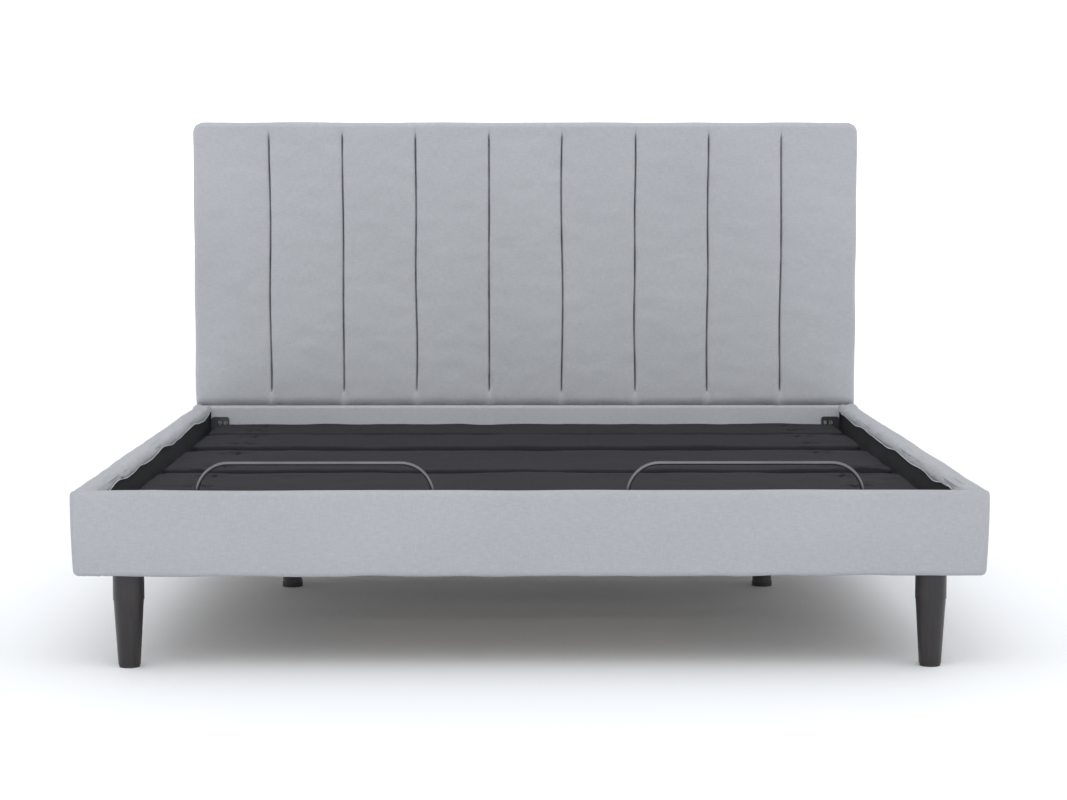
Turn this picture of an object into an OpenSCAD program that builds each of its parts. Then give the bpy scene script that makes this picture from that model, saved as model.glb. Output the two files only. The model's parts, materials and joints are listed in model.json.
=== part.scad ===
// King-size adjustable bed base standing in an upholstered surround with a channelled headboard.
// Seen from the foot, +X is to the right, +Y runs to the head and +Z up. The origin lies on the
// floor below the middle of the outline. All lengths are in millimetres.

/* [Outline] */
// Width over the padded side rails
bed_w = 2040; // [2030:2:2050]
// Length from the front face to the back of the headboard
bed_l = 2220; // [2220:2:2230]
// Height of the headboard
bed_h = 1269; // [1150:1:1400]

/* [Surround] */
// Thickness of a padded rail
rail_t = 50; // [48:1:52]
// Height of the rails' lower edge
rail_lo = 210; // [208:1:211]
// Height of the rails' upper edge
rail_hi = 402; // [396:1:420]
// Thickness of the headboard with its padding
head_t = 90; // [86:1:94]
// Number of padded channels across the headboard
channels = 9; // [5:2:13]
// Width of the inner channels
channel_w = 223; // [150:1:223]
// Side inset of the legs from the outline
leg_inset_x = 120; // [110:1:125]
// Largest diameter of a leg
leg_d_top = 70; // [60:1:72]
// Smallest diameter of a leg
leg_d_foot = 50; // [40:1:52]
// Height of the step between a leg's collar and its tapered foot
collar_z = 153; // [120:1:170]

/* [Deck] */
// Width of the deck panels
deck_w = 1880; // [1860:2:1890]
// Height of the deck's top
deck_z = 349; // [346:1:352]
// Thickness of the covered panels
deck_t = 30; // [28:1:32]
// Distance from the deck's top to the rod centre at the top of a retainer bar
bar_rise = 106; // [90:1:120]

/* [Lift] */
// Back angle at the end of its travel
back_max = 60; // [45:1:60]
// Thigh angle at the end of its travel
leg_max = 40; // [30:1:40]
// Pillow angle at the end of its travel
pillow_max = 30; // [20:1:30]

/* [Hidden] */

$fn = 48;
eps = 1;

// Colours
c_fabric = [0.70, 0.71, 0.74];
c_deck = [0.25, 0.25, 0.27];
c_lining = [0.13, 0.13, 0.14];
c_wood = [0.78, 0.64, 0.45];
c_leg = [0.22, 0.20, 0.21];
c_black = [0.10, 0.10, 0.11];
c_steel = [0.60, 0.61, 0.63];

// Outline and headboard
foot_y = -bed_l / 2;
head_back_y = bed_l / 2;
head_y = head_back_y - head_t;
half_w = bed_w / 2;
rail_in_x = half_w - rail_t;
foot_in_y = foot_y + rail_t;
head_half = half_w - 8;
head_core = head_half - 10;
head_board_y = head_y + 30;
head_frame_y = head_board_y + 12;
head_frame_back = head_back_y - 4;
head_top = bed_h - 12;
head_seam_z = rail_hi + 3;
head_r = 28;
post_w = 70;
joint_gap = 0.2;
groove_w = 10;
groove_margin = [40, 35];

// Headboard brackets, each with two bolts
bracket_x = [910, 965];
bracket_z = [300, 370];
bracket_corner = 8;
bracket_t = 5;
bracket_bolt_x = [921, 939];
bracket_bolt_z = 352;
bracket_bolt_r = 4;

// Rail section, measured inwards from the outer face
rail_r = [14, 6];
rail_foam = 23;
rail_board_t = 24;
board_lo = rail_lo + 4;
board_hi = rail_hi - 8;
lip_lo = rail_lo + 22;
lip_hi = rail_hi - 36;
lining_t = 2;

// Timber blocks inside the rails
corner_block = [110, 85, 52];
ledger = [840, 30, 18];

// Legs
leg_x = half_w - leg_inset_x;
leg_foot_y = foot_y + 61;
leg_head_y = head_back_y - 35;
leg_glide_h = 6;
stud_r = 4;
stud_z = 100;
stud_l = 150;

// Chassis
chassis_x = 634;
chassis_w = 50;
chassis_lo = rail_lo + 20;
chassis_hi = chassis_lo + 40;
chassis_in = chassis_x - chassis_w / 2;
chassis_y0 = foot_in_y + 5;
chassis_y1 = head_y - 10;
cross_lo = chassis_hi - 30;
cross_back_y = 880;
cross_mid_y = 85;
cross_thigh_y = -95;
cross_foot_y = -1020;
base_leg_ys = [70, 860];
base_leg_r = 25.5;
base_glide_h = 12;
bearing_t = 20;
bumper_r = 14;

// Deck sections, each from its foot side to its head side
deck_lo = deck_z - deck_t;
board_t = 18;
edge = 8;
frame_t = 25;
frame_lo = deck_lo - frame_t;
member_x = 800;
member_w = 40;
cross_w = 25;
wall = 2.5;
weld = 6;
pillow_y = [726, 1010];
back_y = [357, 687];
seat_y = [-218, 248];
thigh_y = [-650, -287];
calf_y = [-1040, -675];
pillow_cross = [745, 868, 990];
back_cross = [380, 440, 600, 668];
seat_cross = [-199, 15, 229];
thigh_cross = [-320, -475, -622];
calf_cross = [-700, -811, -922, -1020];
bumper_gap = 0.3;

// Pivots: y and z of each axis, which all lie along X
pivot_z = 300;
back_pivot = [302, pivot_z];
thigh_pivot = [-252, pivot_z];
pillow_pivot = [706, 303];
knee_pivot = [-662, pivot_z];
link_pivot = [-512, 250];
calf_bracket = [link_pivot[0] + knee_pivot[0] - thigh_pivot[0], link_pivot[1]];
back_tube_r = 18;
thigh_tube_r = 16;
running = 0.08;
link_x = 589;
link_pin_r = 6;
link_plate_w = 20;
knee_pin_r = 6;
pillow_pin_r = 5;

// Lift actuators and their slotted levers
drop = 100;
line_z = pivot_z - drop;
back_line_x = -130;
leg_line_x = 130;
pin_r = 5;
rod_r = 10;
tube_r = 20;
small_rod_r = 7;
small_tube_r = 15;
small_pin_r = 4;
back_pin_y = back_pivot[0] - drop * tan(back_max / 2);
leg_pin_y = thigh_pivot[0] + drop * tan(leg_max / 2);
pillow_drop = 60;
pillow_line_z = pillow_pivot[1] - pillow_drop;
pillow_pin_y = pillow_pivot[0] - pillow_drop * tan(pillow_max / 2);

// Retainer bars
bar_y = -1020;
bar_r = 4;
bar_x = [220, 748];
bar_bend = 70;
bar_top = deck_z + bar_rise;
bar_foot = deck_lo - 20;

// Screws that hold the deck panels
screw_x = [member_x - 12, member_x + 12];
screw_r = 2.5;
screw_head_r = 5;
screw_inset = 75;

// Helpers

// A box between two opposite corners
module block(lo, hi) {
    translate(lo) cube(hi - lo);
}

// The children and their mirror image across the middle of the bed
module both() {
    children();
    mirror([1, 0, 0]) children();
}

// A cylinder along X between x0 and x1
module rod_x(x0, x1, y, z, r) {
    translate([x0, y, z]) rotate([0, 90, 0]) cylinder(h = x1 - x0, r = r);
}

// A cylinder along Y between y0 and y1
module rod_y(x, y0, y1, z, r) {
    translate([x, y0, z]) rotate([-90, 0, 0]) cylinder(h = y1 - y0, r = r);
}

// Points of an arc about c
function arc(c, r, a0, a1, n = 5) =
    [for (i = [0:n]) c + r * [cos(a0 + (a1 - a0) * i / n), sin(a0 + (a1 - a0) * i / n)]];

// An outline from [0, lo] to [w, hi] with two outer corners of r_out and two inner ones of r_in
function rail_outline(w, lo, hi, r_out, r_in) = concat(
    arc([r_out, lo + r_out], r_out, 180, 270),
    arc([w - r_in, lo + r_in], r_in, 270, 360),
    arc([w - r_in, hi - r_in], r_in, 0, 90),
    arc([r_out, hi - r_out], r_out, 90, 180));

// A slot outline from a to b along the first axis, w wide
function slot_outline(a, b, w) = concat(
    arc([a + w / 2, 0], w / 2, 90, 270, 8),
    arc([b - w / 2, 0], w / 2, -90, 90, 8));

// A prism along X over an outline drawn in y and z
module prism_x(x0, x1) {
    translate([x0, 0, 0]) rotate([90, 0, 90]) linear_extrude(x1 - x0) children();
}

// A prism along Y over an outline drawn in x and z
module prism_y(y0, y1) {
    translate([0, y1, 0]) rotate([90, 0, 0]) linear_extrude(y1 - y0) children();
}

// Headboard

module headboard_frame() {
    color(c_wood) {
        both()
            block([head_core - post_w, head_frame_y, rail_lo], [head_core, head_frame_back, head_top]);
        for (z = [rail_lo, (rail_lo + head_top) / 2 - post_w / 2, head_top - post_w])
            difference() {
                block([-head_core + post_w + joint_gap, head_frame_y, z],
                      [head_core - post_w - joint_gap, head_frame_back, z + post_w]);
                leg_stud_cuts();
            }
    }
}

module headboard_board() {
    color(c_wood) difference() {
        block([-head_core, head_board_y, rail_lo], [head_core, head_frame_y, head_top]);
        bracket_bolt_cuts();
    }
}

module headboard_channel_pad() {
    color(c_fabric) difference() {
        prism_y(head_y, head_back_y) polygon(concat(
            [[-head_half, head_seam_z], [head_half, head_seam_z]],
            arc([head_half - head_r, bed_h - head_r], head_r, 0, 90),
            arc([-head_half + head_r, bed_h - head_r], head_r, 90, 180)));
        block([-head_core, head_board_y, head_seam_z - eps], [head_core, head_back_y + eps, head_top]);
        for (i = [1:channels - 1])
            translate([(i - channels / 2) * channel_w, head_y, head_seam_z + groove_margin[0]])
                rotate([0, 0, 45]) translate([-groove_w / 2, -groove_w / 2, 0])
                    cube([groove_w, groove_w, bed_h - head_seam_z - groove_margin[0] - groove_margin[1]]);
    }
}

module headboard_lower_pad() {
    color(c_fabric) difference() {
        block([-head_half, head_y, rail_lo], [head_half, head_back_y, head_seam_z]);
        block([-head_core, head_board_y, rail_lo - eps],
              [head_core, head_back_y + eps, head_seam_z + eps]);
        bracket_bolt_cuts();
    }
}

module headboard_back_cover() {
    color(c_lining) block([-head_core, head_frame_back, rail_lo], [head_core, head_back_y - 1, head_top]);
}

module headboard_brackets() {
    color(c_black) both() difference() {
        prism_y(head_y - bracket_t, head_y) polygon(concat(
            [[bracket_x[0], bracket_z[0]], [bracket_x[1], bracket_z[0]]],
            arc([bracket_x[1] - bracket_corner, bracket_z[1] - bracket_corner], bracket_corner, 0, 90),
            arc([bracket_x[0] + bracket_corner, bracket_z[1] - bracket_corner], bracket_corner, 90, 180)));
        bracket_bolt_cuts();
    }
}

module bracket_bolt_cuts() {
    both() for (x = bracket_bolt_x)
        rod_y(x, head_y - bracket_t - eps, head_frame_y - 2, bracket_bolt_z, bracket_bolt_r);
}

module headboard_bracket_bolts() {
    color(c_steel) both() for (x = bracket_bolt_x) {
        rod_y(x, head_y - bracket_t - 4, head_y - bracket_t, bracket_bolt_z, bracket_bolt_r + 2);
        rod_y(x, head_y - bracket_t - eps, head_frame_y - 2, bracket_bolt_z, bracket_bolt_r);
    }
}

// Rails

module side_rail_boards() {
    color(c_wood) both()
        block([half_w - rail_foam - rail_board_t, foot_in_y, board_lo],
              [half_w - rail_foam, head_y, board_hi]);
}

module side_rail_padding_right() {
    color(c_fabric) difference() {
        translate([half_w, 0, 0]) mirror([1, 0, 0]) prism_y(foot_in_y, head_y)
            polygon(rail_outline(rail_t, rail_lo, rail_hi, rail_r[0], rail_r[1]));
        block([half_w - rail_foam - rail_board_t, foot_in_y - eps, board_lo],
              [half_w - rail_foam, head_y + eps, board_hi]);
        block([rail_in_x - eps, foot_in_y - eps, lip_lo],
              [half_w - rail_foam - eps, head_y + eps, lip_hi]);
    }
}

module side_rail_padding_left() {
    mirror([1, 0, 0]) side_rail_padding_right();
}

module foot_rail_board() {
    color(c_wood) block([-half_w + rail_foam, foot_y + rail_foam, board_lo],
                        [half_w - rail_foam, foot_y + rail_foam + rail_board_t, board_hi]);
}

module foot_rail_padding() {
    color(c_fabric) difference() {
        translate([0, foot_y, 0]) prism_x(-half_w, half_w)
            polygon(rail_outline(rail_t, rail_lo, rail_hi, rail_r[0], rail_r[1]));
        block([-half_w + rail_foam, foot_y + rail_foam, board_lo],
              [half_w - rail_foam, foot_y + rail_foam + rail_board_t, board_hi]);
        block([-rail_in_x, foot_y + rail_foam + eps, lip_lo], [rail_in_x, foot_in_y + eps, lip_hi]);
    }
}

module rail_linings() {
    color(c_lining) {
        both()
            block([rail_in_x + 1, foot_in_y, lip_lo], [rail_in_x + 1 + lining_t, head_y, lip_hi]);
        block([-rail_in_x, foot_in_y - 1 - lining_t, lip_lo], [rail_in_x, foot_in_y - 1, lip_hi]);
    }
}

// Two corner blocks that the foot legs screw into, and the ledger under the chassis
module rail_blocks() {
    color(c_wood) {
        both() difference() {
            block([rail_in_x - corner_block[0], foot_in_y, rail_lo],
                  [rail_in_x, foot_in_y + corner_block[1], rail_lo + corner_block[2]]);
            leg_stud_cuts();
        }
        block([-ledger[0], foot_in_y, chassis_lo - ledger[2]],
              [ledger[0], foot_in_y + ledger[1], chassis_lo]);
    }
}

// Legs of the surround

module at_legs() {
    for (x = [-leg_x, leg_x], y = [leg_foot_y, leg_head_y]) translate([x, y, 0]) children();
}

module leg_stud_cuts() {
    at_legs() translate([0, 0, stud_z]) cylinder(h = stud_l, r = stud_r);
}

module leg_collars() {
    color(c_leg) difference() {
        at_legs() translate([0, 0, collar_z]) cylinder(h = rail_lo - collar_z, d = leg_d_top);
        leg_stud_cuts();
    }
}

module leg_tapers() {
    color(c_leg) difference() {
        at_legs() translate([0, 0, leg_glide_h])
            cylinder(h = collar_z - leg_glide_h, d1 = leg_d_foot, d2 = leg_d_top - 2);
        leg_stud_cuts();
    }
}

module leg_glides() {
    color(c_black) at_legs() cylinder(h = leg_glide_h, d = leg_d_foot - 4);
}

module leg_studs() {
    color(c_steel) leg_stud_cuts();
}

// Chassis

module chassis_side_rails() {
    color(c_black) both() difference() {
        block([chassis_in, chassis_y0, chassis_lo],
              [chassis_x + chassis_w / 2, chassis_y1, chassis_hi]);
        block([chassis_in + wall, chassis_y0 - eps, chassis_lo + wall],
              [chassis_x + chassis_w / 2 - wall, chassis_y1 + eps, chassis_hi - wall]);
        rod_x(chassis_in - eps, chassis_in + wall + eps, link_pivot[0], link_pivot[1], link_pin_r + running);
    }
}

module chassis_cross_members() {
    color(c_black) for (y = [cross_back_y, cross_mid_y, cross_thigh_y, cross_foot_y]) difference() {
        block([-chassis_in, y - 15, cross_lo], [chassis_in, y + 15, chassis_hi]);
        block([-chassis_in - eps, y - 15 + wall, cross_lo + wall],
              [chassis_in + eps, y + 15 - wall, chassis_hi - wall]);
    }
}

module at_base_legs() {
    for (x = [-chassis_x, chassis_x], y = base_leg_ys) translate([x, y, 0]) children();
}

module base_legs() {
    color(c_black) at_base_legs() difference() {
        translate([0, 0, base_glide_h]) cylinder(h = chassis_lo - base_glide_h, r = base_leg_r);
        translate([0, 0, base_glide_h - eps])
            cylinder(h = chassis_lo - base_glide_h - 10, r = base_leg_r - wall);
    }
}

module base_leg_glides() {
    color(c_black) at_base_legs() cylinder(h = base_glide_h, r = base_leg_r + 1.5);
}

// One pillow block with a bore for a torque tube
module bearing(pivot, r) {
    difference() {
        block([chassis_x - bearing_t / 2, pivot[0] - r - 8, chassis_hi],
              [chassis_x + bearing_t / 2, pivot[0] + r + 8, pivot[1] + r + 7]);
        rod_x(chassis_x - bearing_t, chassis_x + bearing_t, pivot[0], pivot[1], r + running);
    }
}

module pivot_bearings() {
    color(c_steel) both() {
        bearing(back_pivot, back_tube_r);
        bearing(thigh_pivot, thigh_tube_r);
    }
}

module rest_bumpers() {
    color(c_black) both() for (y = [back_cross[3], pillow_cross[2], thigh_cross[2], calf_cross[3]])
        translate([chassis_x, y, chassis_hi])
            cylinder(h = frame_lo - chassis_hi - bumper_gap, r = bumper_r);
}

// A rear clevis with its pin at y, and a saddle round the tube at saddle_y, under the cross members
module actuator_bracket(x, y, saddle_y) {
    for (s = [-1, 1]) block([x + s * 13 - 2, y - 12, line_z - 14], [x + s * 13 + 2, y + 12, cross_lo]);
    rod_x(x - 18, x + 18, y, line_z, pin_r);
    difference() {
        block([x - 27, saddle_y - 8, line_z - 27], [x + 27, saddle_y + 8, cross_lo]);
        rod_y(x, saddle_y - 9, saddle_y + 9, line_z, tube_r);
    }
}

module actuator_brackets() {
    color(c_black) {
        actuator_bracket(back_line_x, cross_thigh_y, cross_mid_y);
        actuator_bracket(leg_line_x, cross_mid_y, cross_thigh_y);
    }
}

// A flanged box that hangs under the two middle cross members
module slung_box(x0, x1, h) {
    block([x0, cross_thigh_y + 30, cross_lo - h], [x1, cross_mid_y - 30, cross_lo - 4]);
    block([x0 + 10, cross_thigh_y - 12, cross_lo - 4], [x1 - 10, cross_mid_y + 12, cross_lo]);
}

module control_box() {
    color(c_black) difference() {
        slung_box(-440, -270, 48);
        for (i = [0:4]) block([-425 + i * 30, cross_thigh_y + 29, cross_lo - 38],
                              [-407 + i * 30, cross_thigh_y + 39, cross_lo - 24]);
    }
}

module power_supply() {
    color(c_black) difference() {
        slung_box(260, 410, 56);
        block([300, cross_mid_y - 44, cross_lo - 44], [328, cross_mid_y - 29, cross_lo - 22]);
    }
}

// Deck sections

// A welded frame of channels that are open below, from y0 to y1, with cross members at ys
module deck_frame(y0, y1, ys) {
    side_in = member_x - member_w / 2;
    side_out = member_x + member_w / 2;
    difference() {
        union() {
            both() block([side_in, y0, frame_lo], [side_out, y1, deck_lo]);
            for (y = ys)
                block([-side_in - wall, y - cross_w / 2, frame_lo],
                      [side_in + wall, y + cross_w / 2, deck_lo]);
        }
        both()
            block([side_in + wall, y0 + wall, frame_lo - eps],
                  [side_out - wall, y1 - wall, deck_lo - wall]);
        for (y = ys)
            block([-side_in, y - cross_w / 2 + wall, frame_lo - eps],
                  [side_in, y + cross_w / 2 - wall, deck_lo - wall]);
    }
}

// The solid ends of the side members, before the torque tube's seat is cut in them
module tube_saddle(y0, y1) {
    both() block([member_x - member_w / 2, y0, frame_lo], [member_x + member_w / 2, y1, deck_lo]);
}

// Places of a section's screws: one pair near each end of each side member
module at_screws(ys) {
    both() for (x = screw_x, y = [ys[0] + screw_inset, ys[1] - screw_inset])
        translate([x, y, 0]) children();
}

module screw_holes(ys, r) {
    at_screws(ys) translate([0, 0, frame_lo]) cylinder(h = deck_z, r = r);
}

module screws(ys) {
    color(c_black) at_screws(ys) {
        translate([0, 0, frame_lo + weld]) cylinder(h = frame_t + board_t - weld, r = screw_r);
        translate([0, 0, deck_lo + board_t]) cylinder(h = 5, r = screw_head_r - 0.5);
    }
}

module deck_board(ys) {
    color(c_wood) difference() {
        block([-deck_w / 2 + edge, ys[0] + edge, deck_lo],
              [deck_w / 2 - edge, ys[1] - edge, deck_lo + board_t]);
        screw_holes(ys, screw_r);
    }
}

// The covered foam that wraps a board's top and edges
module deck_cover(ys) {
    color(c_deck) difference() {
        translate([-deck_w / 2, 0, 0]) prism_x(0, deck_w) polygon(concat(
            [[ys[0], deck_lo], [ys[1], deck_lo]],
            arc([ys[1] - edge, deck_z - edge], edge, 0, 90, 3),
            arc([ys[0] + edge, deck_z - edge], edge, 90, 180, 3)));
        block([-deck_w / 2 + edge, ys[0] + edge, deck_lo - eps],
              [deck_w / 2 - edge, ys[1] - edge, deck_lo + board_t]);
        screw_holes(ys, screw_head_r);
    }
}

// A lug with a bore for a hinge pin, on both sides of the bed
module hinge_lugs(x, y0, y1, pivot, r) {
    both() difference() {
        block([x - 3, y0, pivot[1] - 13], [x + 3, y1, deck_lo - 3]);
        rod_x(x - 4, x + 4, pivot[0], pivot[1], r);
    }
}

// Two slotted plates about x that point down from the pivot at an angle from the vertical
module slotted_lever(x, pivot, angle, half_w, reach, slot, gap, t) {
    for (s = [-1, 1]) translate([x + s * (gap + t / 2), pivot[0], pivot[1]]) rotate([angle, 0, 0])
        translate([-t / 2, 0, 0]) difference() {
            translate([0, -half_w, -reach]) cube([t, 2 * half_w, reach + half_w]);
            rotate([0, 90, 0]) translate([0, 0, -eps]) linear_extrude(t + 2 * eps)
                polygon(slot_outline(slot[0], slot[1], slot[2]));
        }
}

module seat_frame() {
    color(c_black) {
        difference() {
            deck_frame(seat_y[0] + 5, seat_y[1] - 5, seat_cross);
            screw_holes(seat_y, screw_r);
        }
        both() for (y = [seat_cross[0], seat_cross[2]])
            block([chassis_x - 20, y - 12, chassis_hi], [chassis_x + 20, y + 12, frame_lo + weld]);
    }
}

module seat_board() { deck_board(seat_y); }
module seat_cover() { deck_cover(seat_y); }
module seat_screws() { screws(seat_y); }

module back_torque_tube() {
    color(c_black) difference() {
        union() {
            rod_x(-member_x - 20, member_x + 20, back_pivot[0], back_pivot[1], back_tube_r);
            slotted_lever(back_line_x, back_pivot, -back_max / 2, 22, 134, [92, 124, 16], 11.5, 5);
        }
        rod_x(-member_x - 21, member_x + 21, back_pivot[0], back_pivot[1], back_tube_r - wall);
    }
}

module back_frame() {
    color(c_black) {
        difference() {
            union() {
                deck_frame(back_pivot[0] + 24, back_y[1] - 5, back_cross);
                tube_saddle(back_pivot[0] + 10, back_pivot[0] + 26);
            }
            rod_x(-member_x - 21, member_x + 21, back_pivot[0], back_pivot[1], back_tube_r);
            screw_holes(back_y, screw_r);
        }
        hinge_lugs(member_x - 6, back_y[1] - 15, pillow_pivot[0] + 9, pillow_pivot, pillow_pin_r + running);
        for (s = [-1, 1])
            block([s * 11 - 2, back_cross[1] - cross_w / 2, pillow_line_z - 12],
                  [s * 11 + 2, back_cross[1] + cross_w / 2, frame_lo + weld]);
        rod_x(-16, 16, back_cross[1], pillow_line_z, pin_r);
        difference() {
            block([-21, back_cross[2] - cross_w / 2, pillow_line_z - 21],
                  [21, back_cross[2] + cross_w / 2, frame_lo + weld]);
            rod_y(0, back_cross[2] - cross_w, back_cross[2] + cross_w, pillow_line_z, small_tube_r);
        }
    }
}

module back_board() { deck_board(back_y); }
module back_cover() { deck_cover(back_y); }
module back_screws() { screws(back_y); }

module pillow_frame() {
    color(c_black) {
        difference() {
            deck_frame(pillow_y[0] + 5, pillow_y[1] - 5, pillow_cross);
            screw_holes(pillow_y, screw_r);
        }
        hinge_lugs(member_x + 6, pillow_pivot[0] - 9, pillow_y[0] + 15, pillow_pivot, pillow_pin_r);
        slotted_lever(0, pillow_pivot, -pillow_max / 2, 11, 74, [54, 69, 10], 8.5, 4);
        for (s = [-1, 1])
            block([s * 10.5 - 2, pillow_pivot[0], frame_lo],
                  [s * 10.5 + 2, pillow_cross[0] - 10, deck_lo - 8]);
    }
}

module pillow_pins() {
    color(c_steel) both() rod_x(member_x - 11, member_x + 11, pillow_pivot[0], pillow_pivot[1], pillow_pin_r);
}

module pillow_board() { deck_board(pillow_y); }
module pillow_cover() { deck_cover(pillow_y); }
module pillow_screws() { screws(pillow_y); }

module thigh_torque_tube() {
    color(c_black) difference() {
        union() {
            rod_x(-member_x - 20, member_x + 20, thigh_pivot[0], thigh_pivot[1], thigh_tube_r);
            slotted_lever(leg_line_x, thigh_pivot, leg_max / 2, 20, 126, [92, 115, 13], 11.5, 5);
        }
        rod_x(-member_x - 21, member_x + 21, thigh_pivot[0], thigh_pivot[1], thigh_tube_r - wall);
    }
}

module thigh_frame() {
    color(c_black) {
        difference() {
            union() {
                deck_frame(knee_pivot[0] + 24, thigh_pivot[0] - 24, thigh_cross);
                tube_saddle(thigh_pivot[0] - 26, thigh_pivot[0] - 8);
            }
            rod_x(-member_x - 21, member_x + 21, thigh_pivot[0], thigh_pivot[1], thigh_tube_r);
            screw_holes(thigh_y, screw_r);
        }
        hinge_lugs(member_x + 6, knee_pivot[0] - 12, knee_pivot[0] + 34, knee_pivot, knee_pin_r);
    }
}

module knee_pins() {
    color(c_steel) both() rod_x(member_x - 11, member_x + 11, knee_pivot[0], knee_pivot[1], knee_pin_r);
}

module thigh_board() { deck_board(thigh_y); }
module thigh_cover() { deck_cover(thigh_y); }
module thigh_screws() { screws(thigh_y); }

module bar_holes() {
    both() for (x = bar_x) translate([x, bar_y, frame_lo + 1]) cylinder(h = deck_z, r = bar_r);
}

module calf_frame() {
    color(c_black) {
        difference() {
            deck_frame(calf_y[0] + 5, knee_pivot[0] - 24, calf_cross);
            screw_holes(calf_y, screw_r);
            bar_holes();
        }
        hinge_lugs(member_x - 6, knee_pivot[0] - 34, knee_pivot[0] + 12, knee_pivot, knee_pin_r + running);
    }
}

// Plates that stand in a cross member of the calf frame and take the links' upper pins
module calf_link_brackets() {
    color(c_black) both() difference() {
        block([link_x + 8, calf_bracket[0] - link_plate_w / 2, calf_bracket[1] - 12],
              [link_x + 14, calf_bracket[0] + link_plate_w / 2, deck_lo - wall]);
        rod_x(link_x + 7, link_x + 15, calf_bracket[0], calf_bracket[1], link_pin_r + running);
    }
}

module calf_board() {
    color(c_wood) difference() {
        deck_board(calf_y);
        bar_holes();
    }
}

module calf_cover() {
    color(c_deck) difference() {
        deck_cover(calf_y);
        bar_holes();
    }
}

module calf_screws() { screws(calf_y); }

// A bent rod with two legs in the deck and two round corners
module retainer_bars() {
    color(c_steel) both() {
        for (x = bar_x)
            translate([x, bar_y, bar_foot]) cylinder(h = bar_top - bar_bend - bar_foot, r = bar_r);
        rod_x(bar_x[0] + bar_bend, bar_x[1] - bar_bend, bar_y, bar_top, bar_r);
        translate([bar_x[1] - bar_bend, bar_y, bar_top - bar_bend]) rotate([90, 0, 0])
            rotate_extrude(angle = 90) translate([bar_bend, 0]) circle(r = bar_r);
        translate([bar_x[0] + bar_bend, bar_y, bar_top - bar_bend]) rotate([90, 0, 0]) rotate([0, 0, 90])
            rotate_extrude(angle = 90) translate([bar_bend, 0]) circle(r = bar_r);
    }
}

// Flat links that keep the calf section level, each with its two welded pins
module foot_links() {
    color(c_black) both() {
        block([link_x - 5, calf_bracket[0] - 10, link_pivot[1] - 10],
              [link_x + 5, link_pivot[0] + 10, link_pivot[1] + 10]);
        rod_x(link_x + 4, chassis_in + wall, link_pivot[0], link_pivot[1], link_pin_r);
        rod_x(link_x + 4, link_x + 17, calf_bracket[0], calf_bracket[1], link_pin_r);
    }
}

// Actuators. Each is drawn with its rear eye at the origin and its rod along +Y.

// Housing: rear eye, gear case of half height h, motor of radius m_r alongside, and outer tube
module actuator_housing(length, r, bore, h, m_dx, m_r, eye) {
    difference() {
        union() {
            translate([-eye, -10, -11]) cube([2 * eye, 30, 22]);
            translate([min(-h, m_dx - m_r - 2), 18, -h]) cube([h + m_r + 2 + abs(m_dx), 48, 2 * h]);
            rod_y(0, 60, length, 0, r);
            rod_y(m_dx, 60, 60 + 3 * m_r, 0, m_r);
        }
        rod_y(0, 90, length + eps, 0, bore + running);
        rod_x(-eye - eps, eye + eps, 0, 0, pin_r);
    }
}

// Rod from y0 to its eye at y1, with the pin that runs in the slotted lever
module actuator_rod(y0, y1, r, eye, pin, pin_half) {
    rod_y(0, y0, y1 - r + 1, 0, r);
    translate([-eye, y1 - r - 2, -r - 1]) cube([2 * eye, 2 * r + 4, 2 * r + 2]);
    rod_x(-pin_half, pin_half, y1, 0, pin);
}

module at_back_actuator() {
    translate([back_line_x, cross_thigh_y, line_z]) children();
}

module at_leg_actuator() {
    translate([leg_line_x, cross_mid_y, line_z]) mirror([0, 1, 0]) children();
}

module at_pillow_actuator() {
    translate([0, back_cross[1], pillow_line_z]) children();
}

module back_actuator_housing() {
    color(c_black) at_back_actuator() actuator_housing(303, tube_r, rod_r, 32, -58, 28, 10);
}

module back_actuator_rod() {
    color(c_steel) at_back_actuator()
        actuator_rod(150, back_pin_y - cross_thigh_y, rod_r, 10, pin_r, 20);
}

module leg_actuator_housing() {
    color(c_black) at_leg_actuator() actuator_housing(265, tube_r, rod_r, 32, -58, 28, 10);
}

module leg_actuator_rod() {
    color(c_steel) at_leg_actuator()
        actuator_rod(145, cross_mid_y - leg_pin_y, rod_r, 10, pin_r, 20);
}

module pillow_actuator_housing() {
    color(c_black) at_pillow_actuator() actuator_housing(220, small_tube_r, small_rod_r, 24, 44, 20, 8);
}

module pillow_actuator_rod() {
    color(c_steel) at_pillow_actuator()
        actuator_rod(120, pillow_pin_y - back_cross[1], small_rod_r, 7, small_pin_r, 15);
}

headboard_frame();
headboard_board();
headboard_channel_pad();
headboard_lower_pad();
headboard_back_cover();
headboard_brackets();
headboard_bracket_bolts();
side_rail_boards();
side_rail_padding_left();
side_rail_padding_right();
foot_rail_board();
foot_rail_padding();
rail_linings();
rail_blocks();
leg_collars();
leg_tapers();
leg_glides();
leg_studs();
chassis_side_rails();
chassis_cross_members();
base_legs();
base_leg_glides();
pivot_bearings();
rest_bumpers();
actuator_brackets();
control_box();
power_supply();
seat_frame();
seat_board();
seat_cover();
seat_screws();
back_torque_tube();
back_frame();
back_board();
back_cover();
back_screws();
pillow_frame();
pillow_pins();
pillow_board();
pillow_cover();
pillow_screws();
thigh_torque_tube();
thigh_frame();
knee_pins();
thigh_board();
thigh_cover();
thigh_screws();
calf_frame();
calf_link_brackets();
calf_board();
calf_cover();
calf_screws();
retainer_bars();
foot_links();
back_actuator_housing();
back_actuator_rod();
leg_actuator_housing();
leg_actuator_rod();
pillow_actuator_housing();
pillow_actuator_rod();
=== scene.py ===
# An upholstered adjustable bed base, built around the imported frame. All lengths are in metres.
import json
import math

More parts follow.
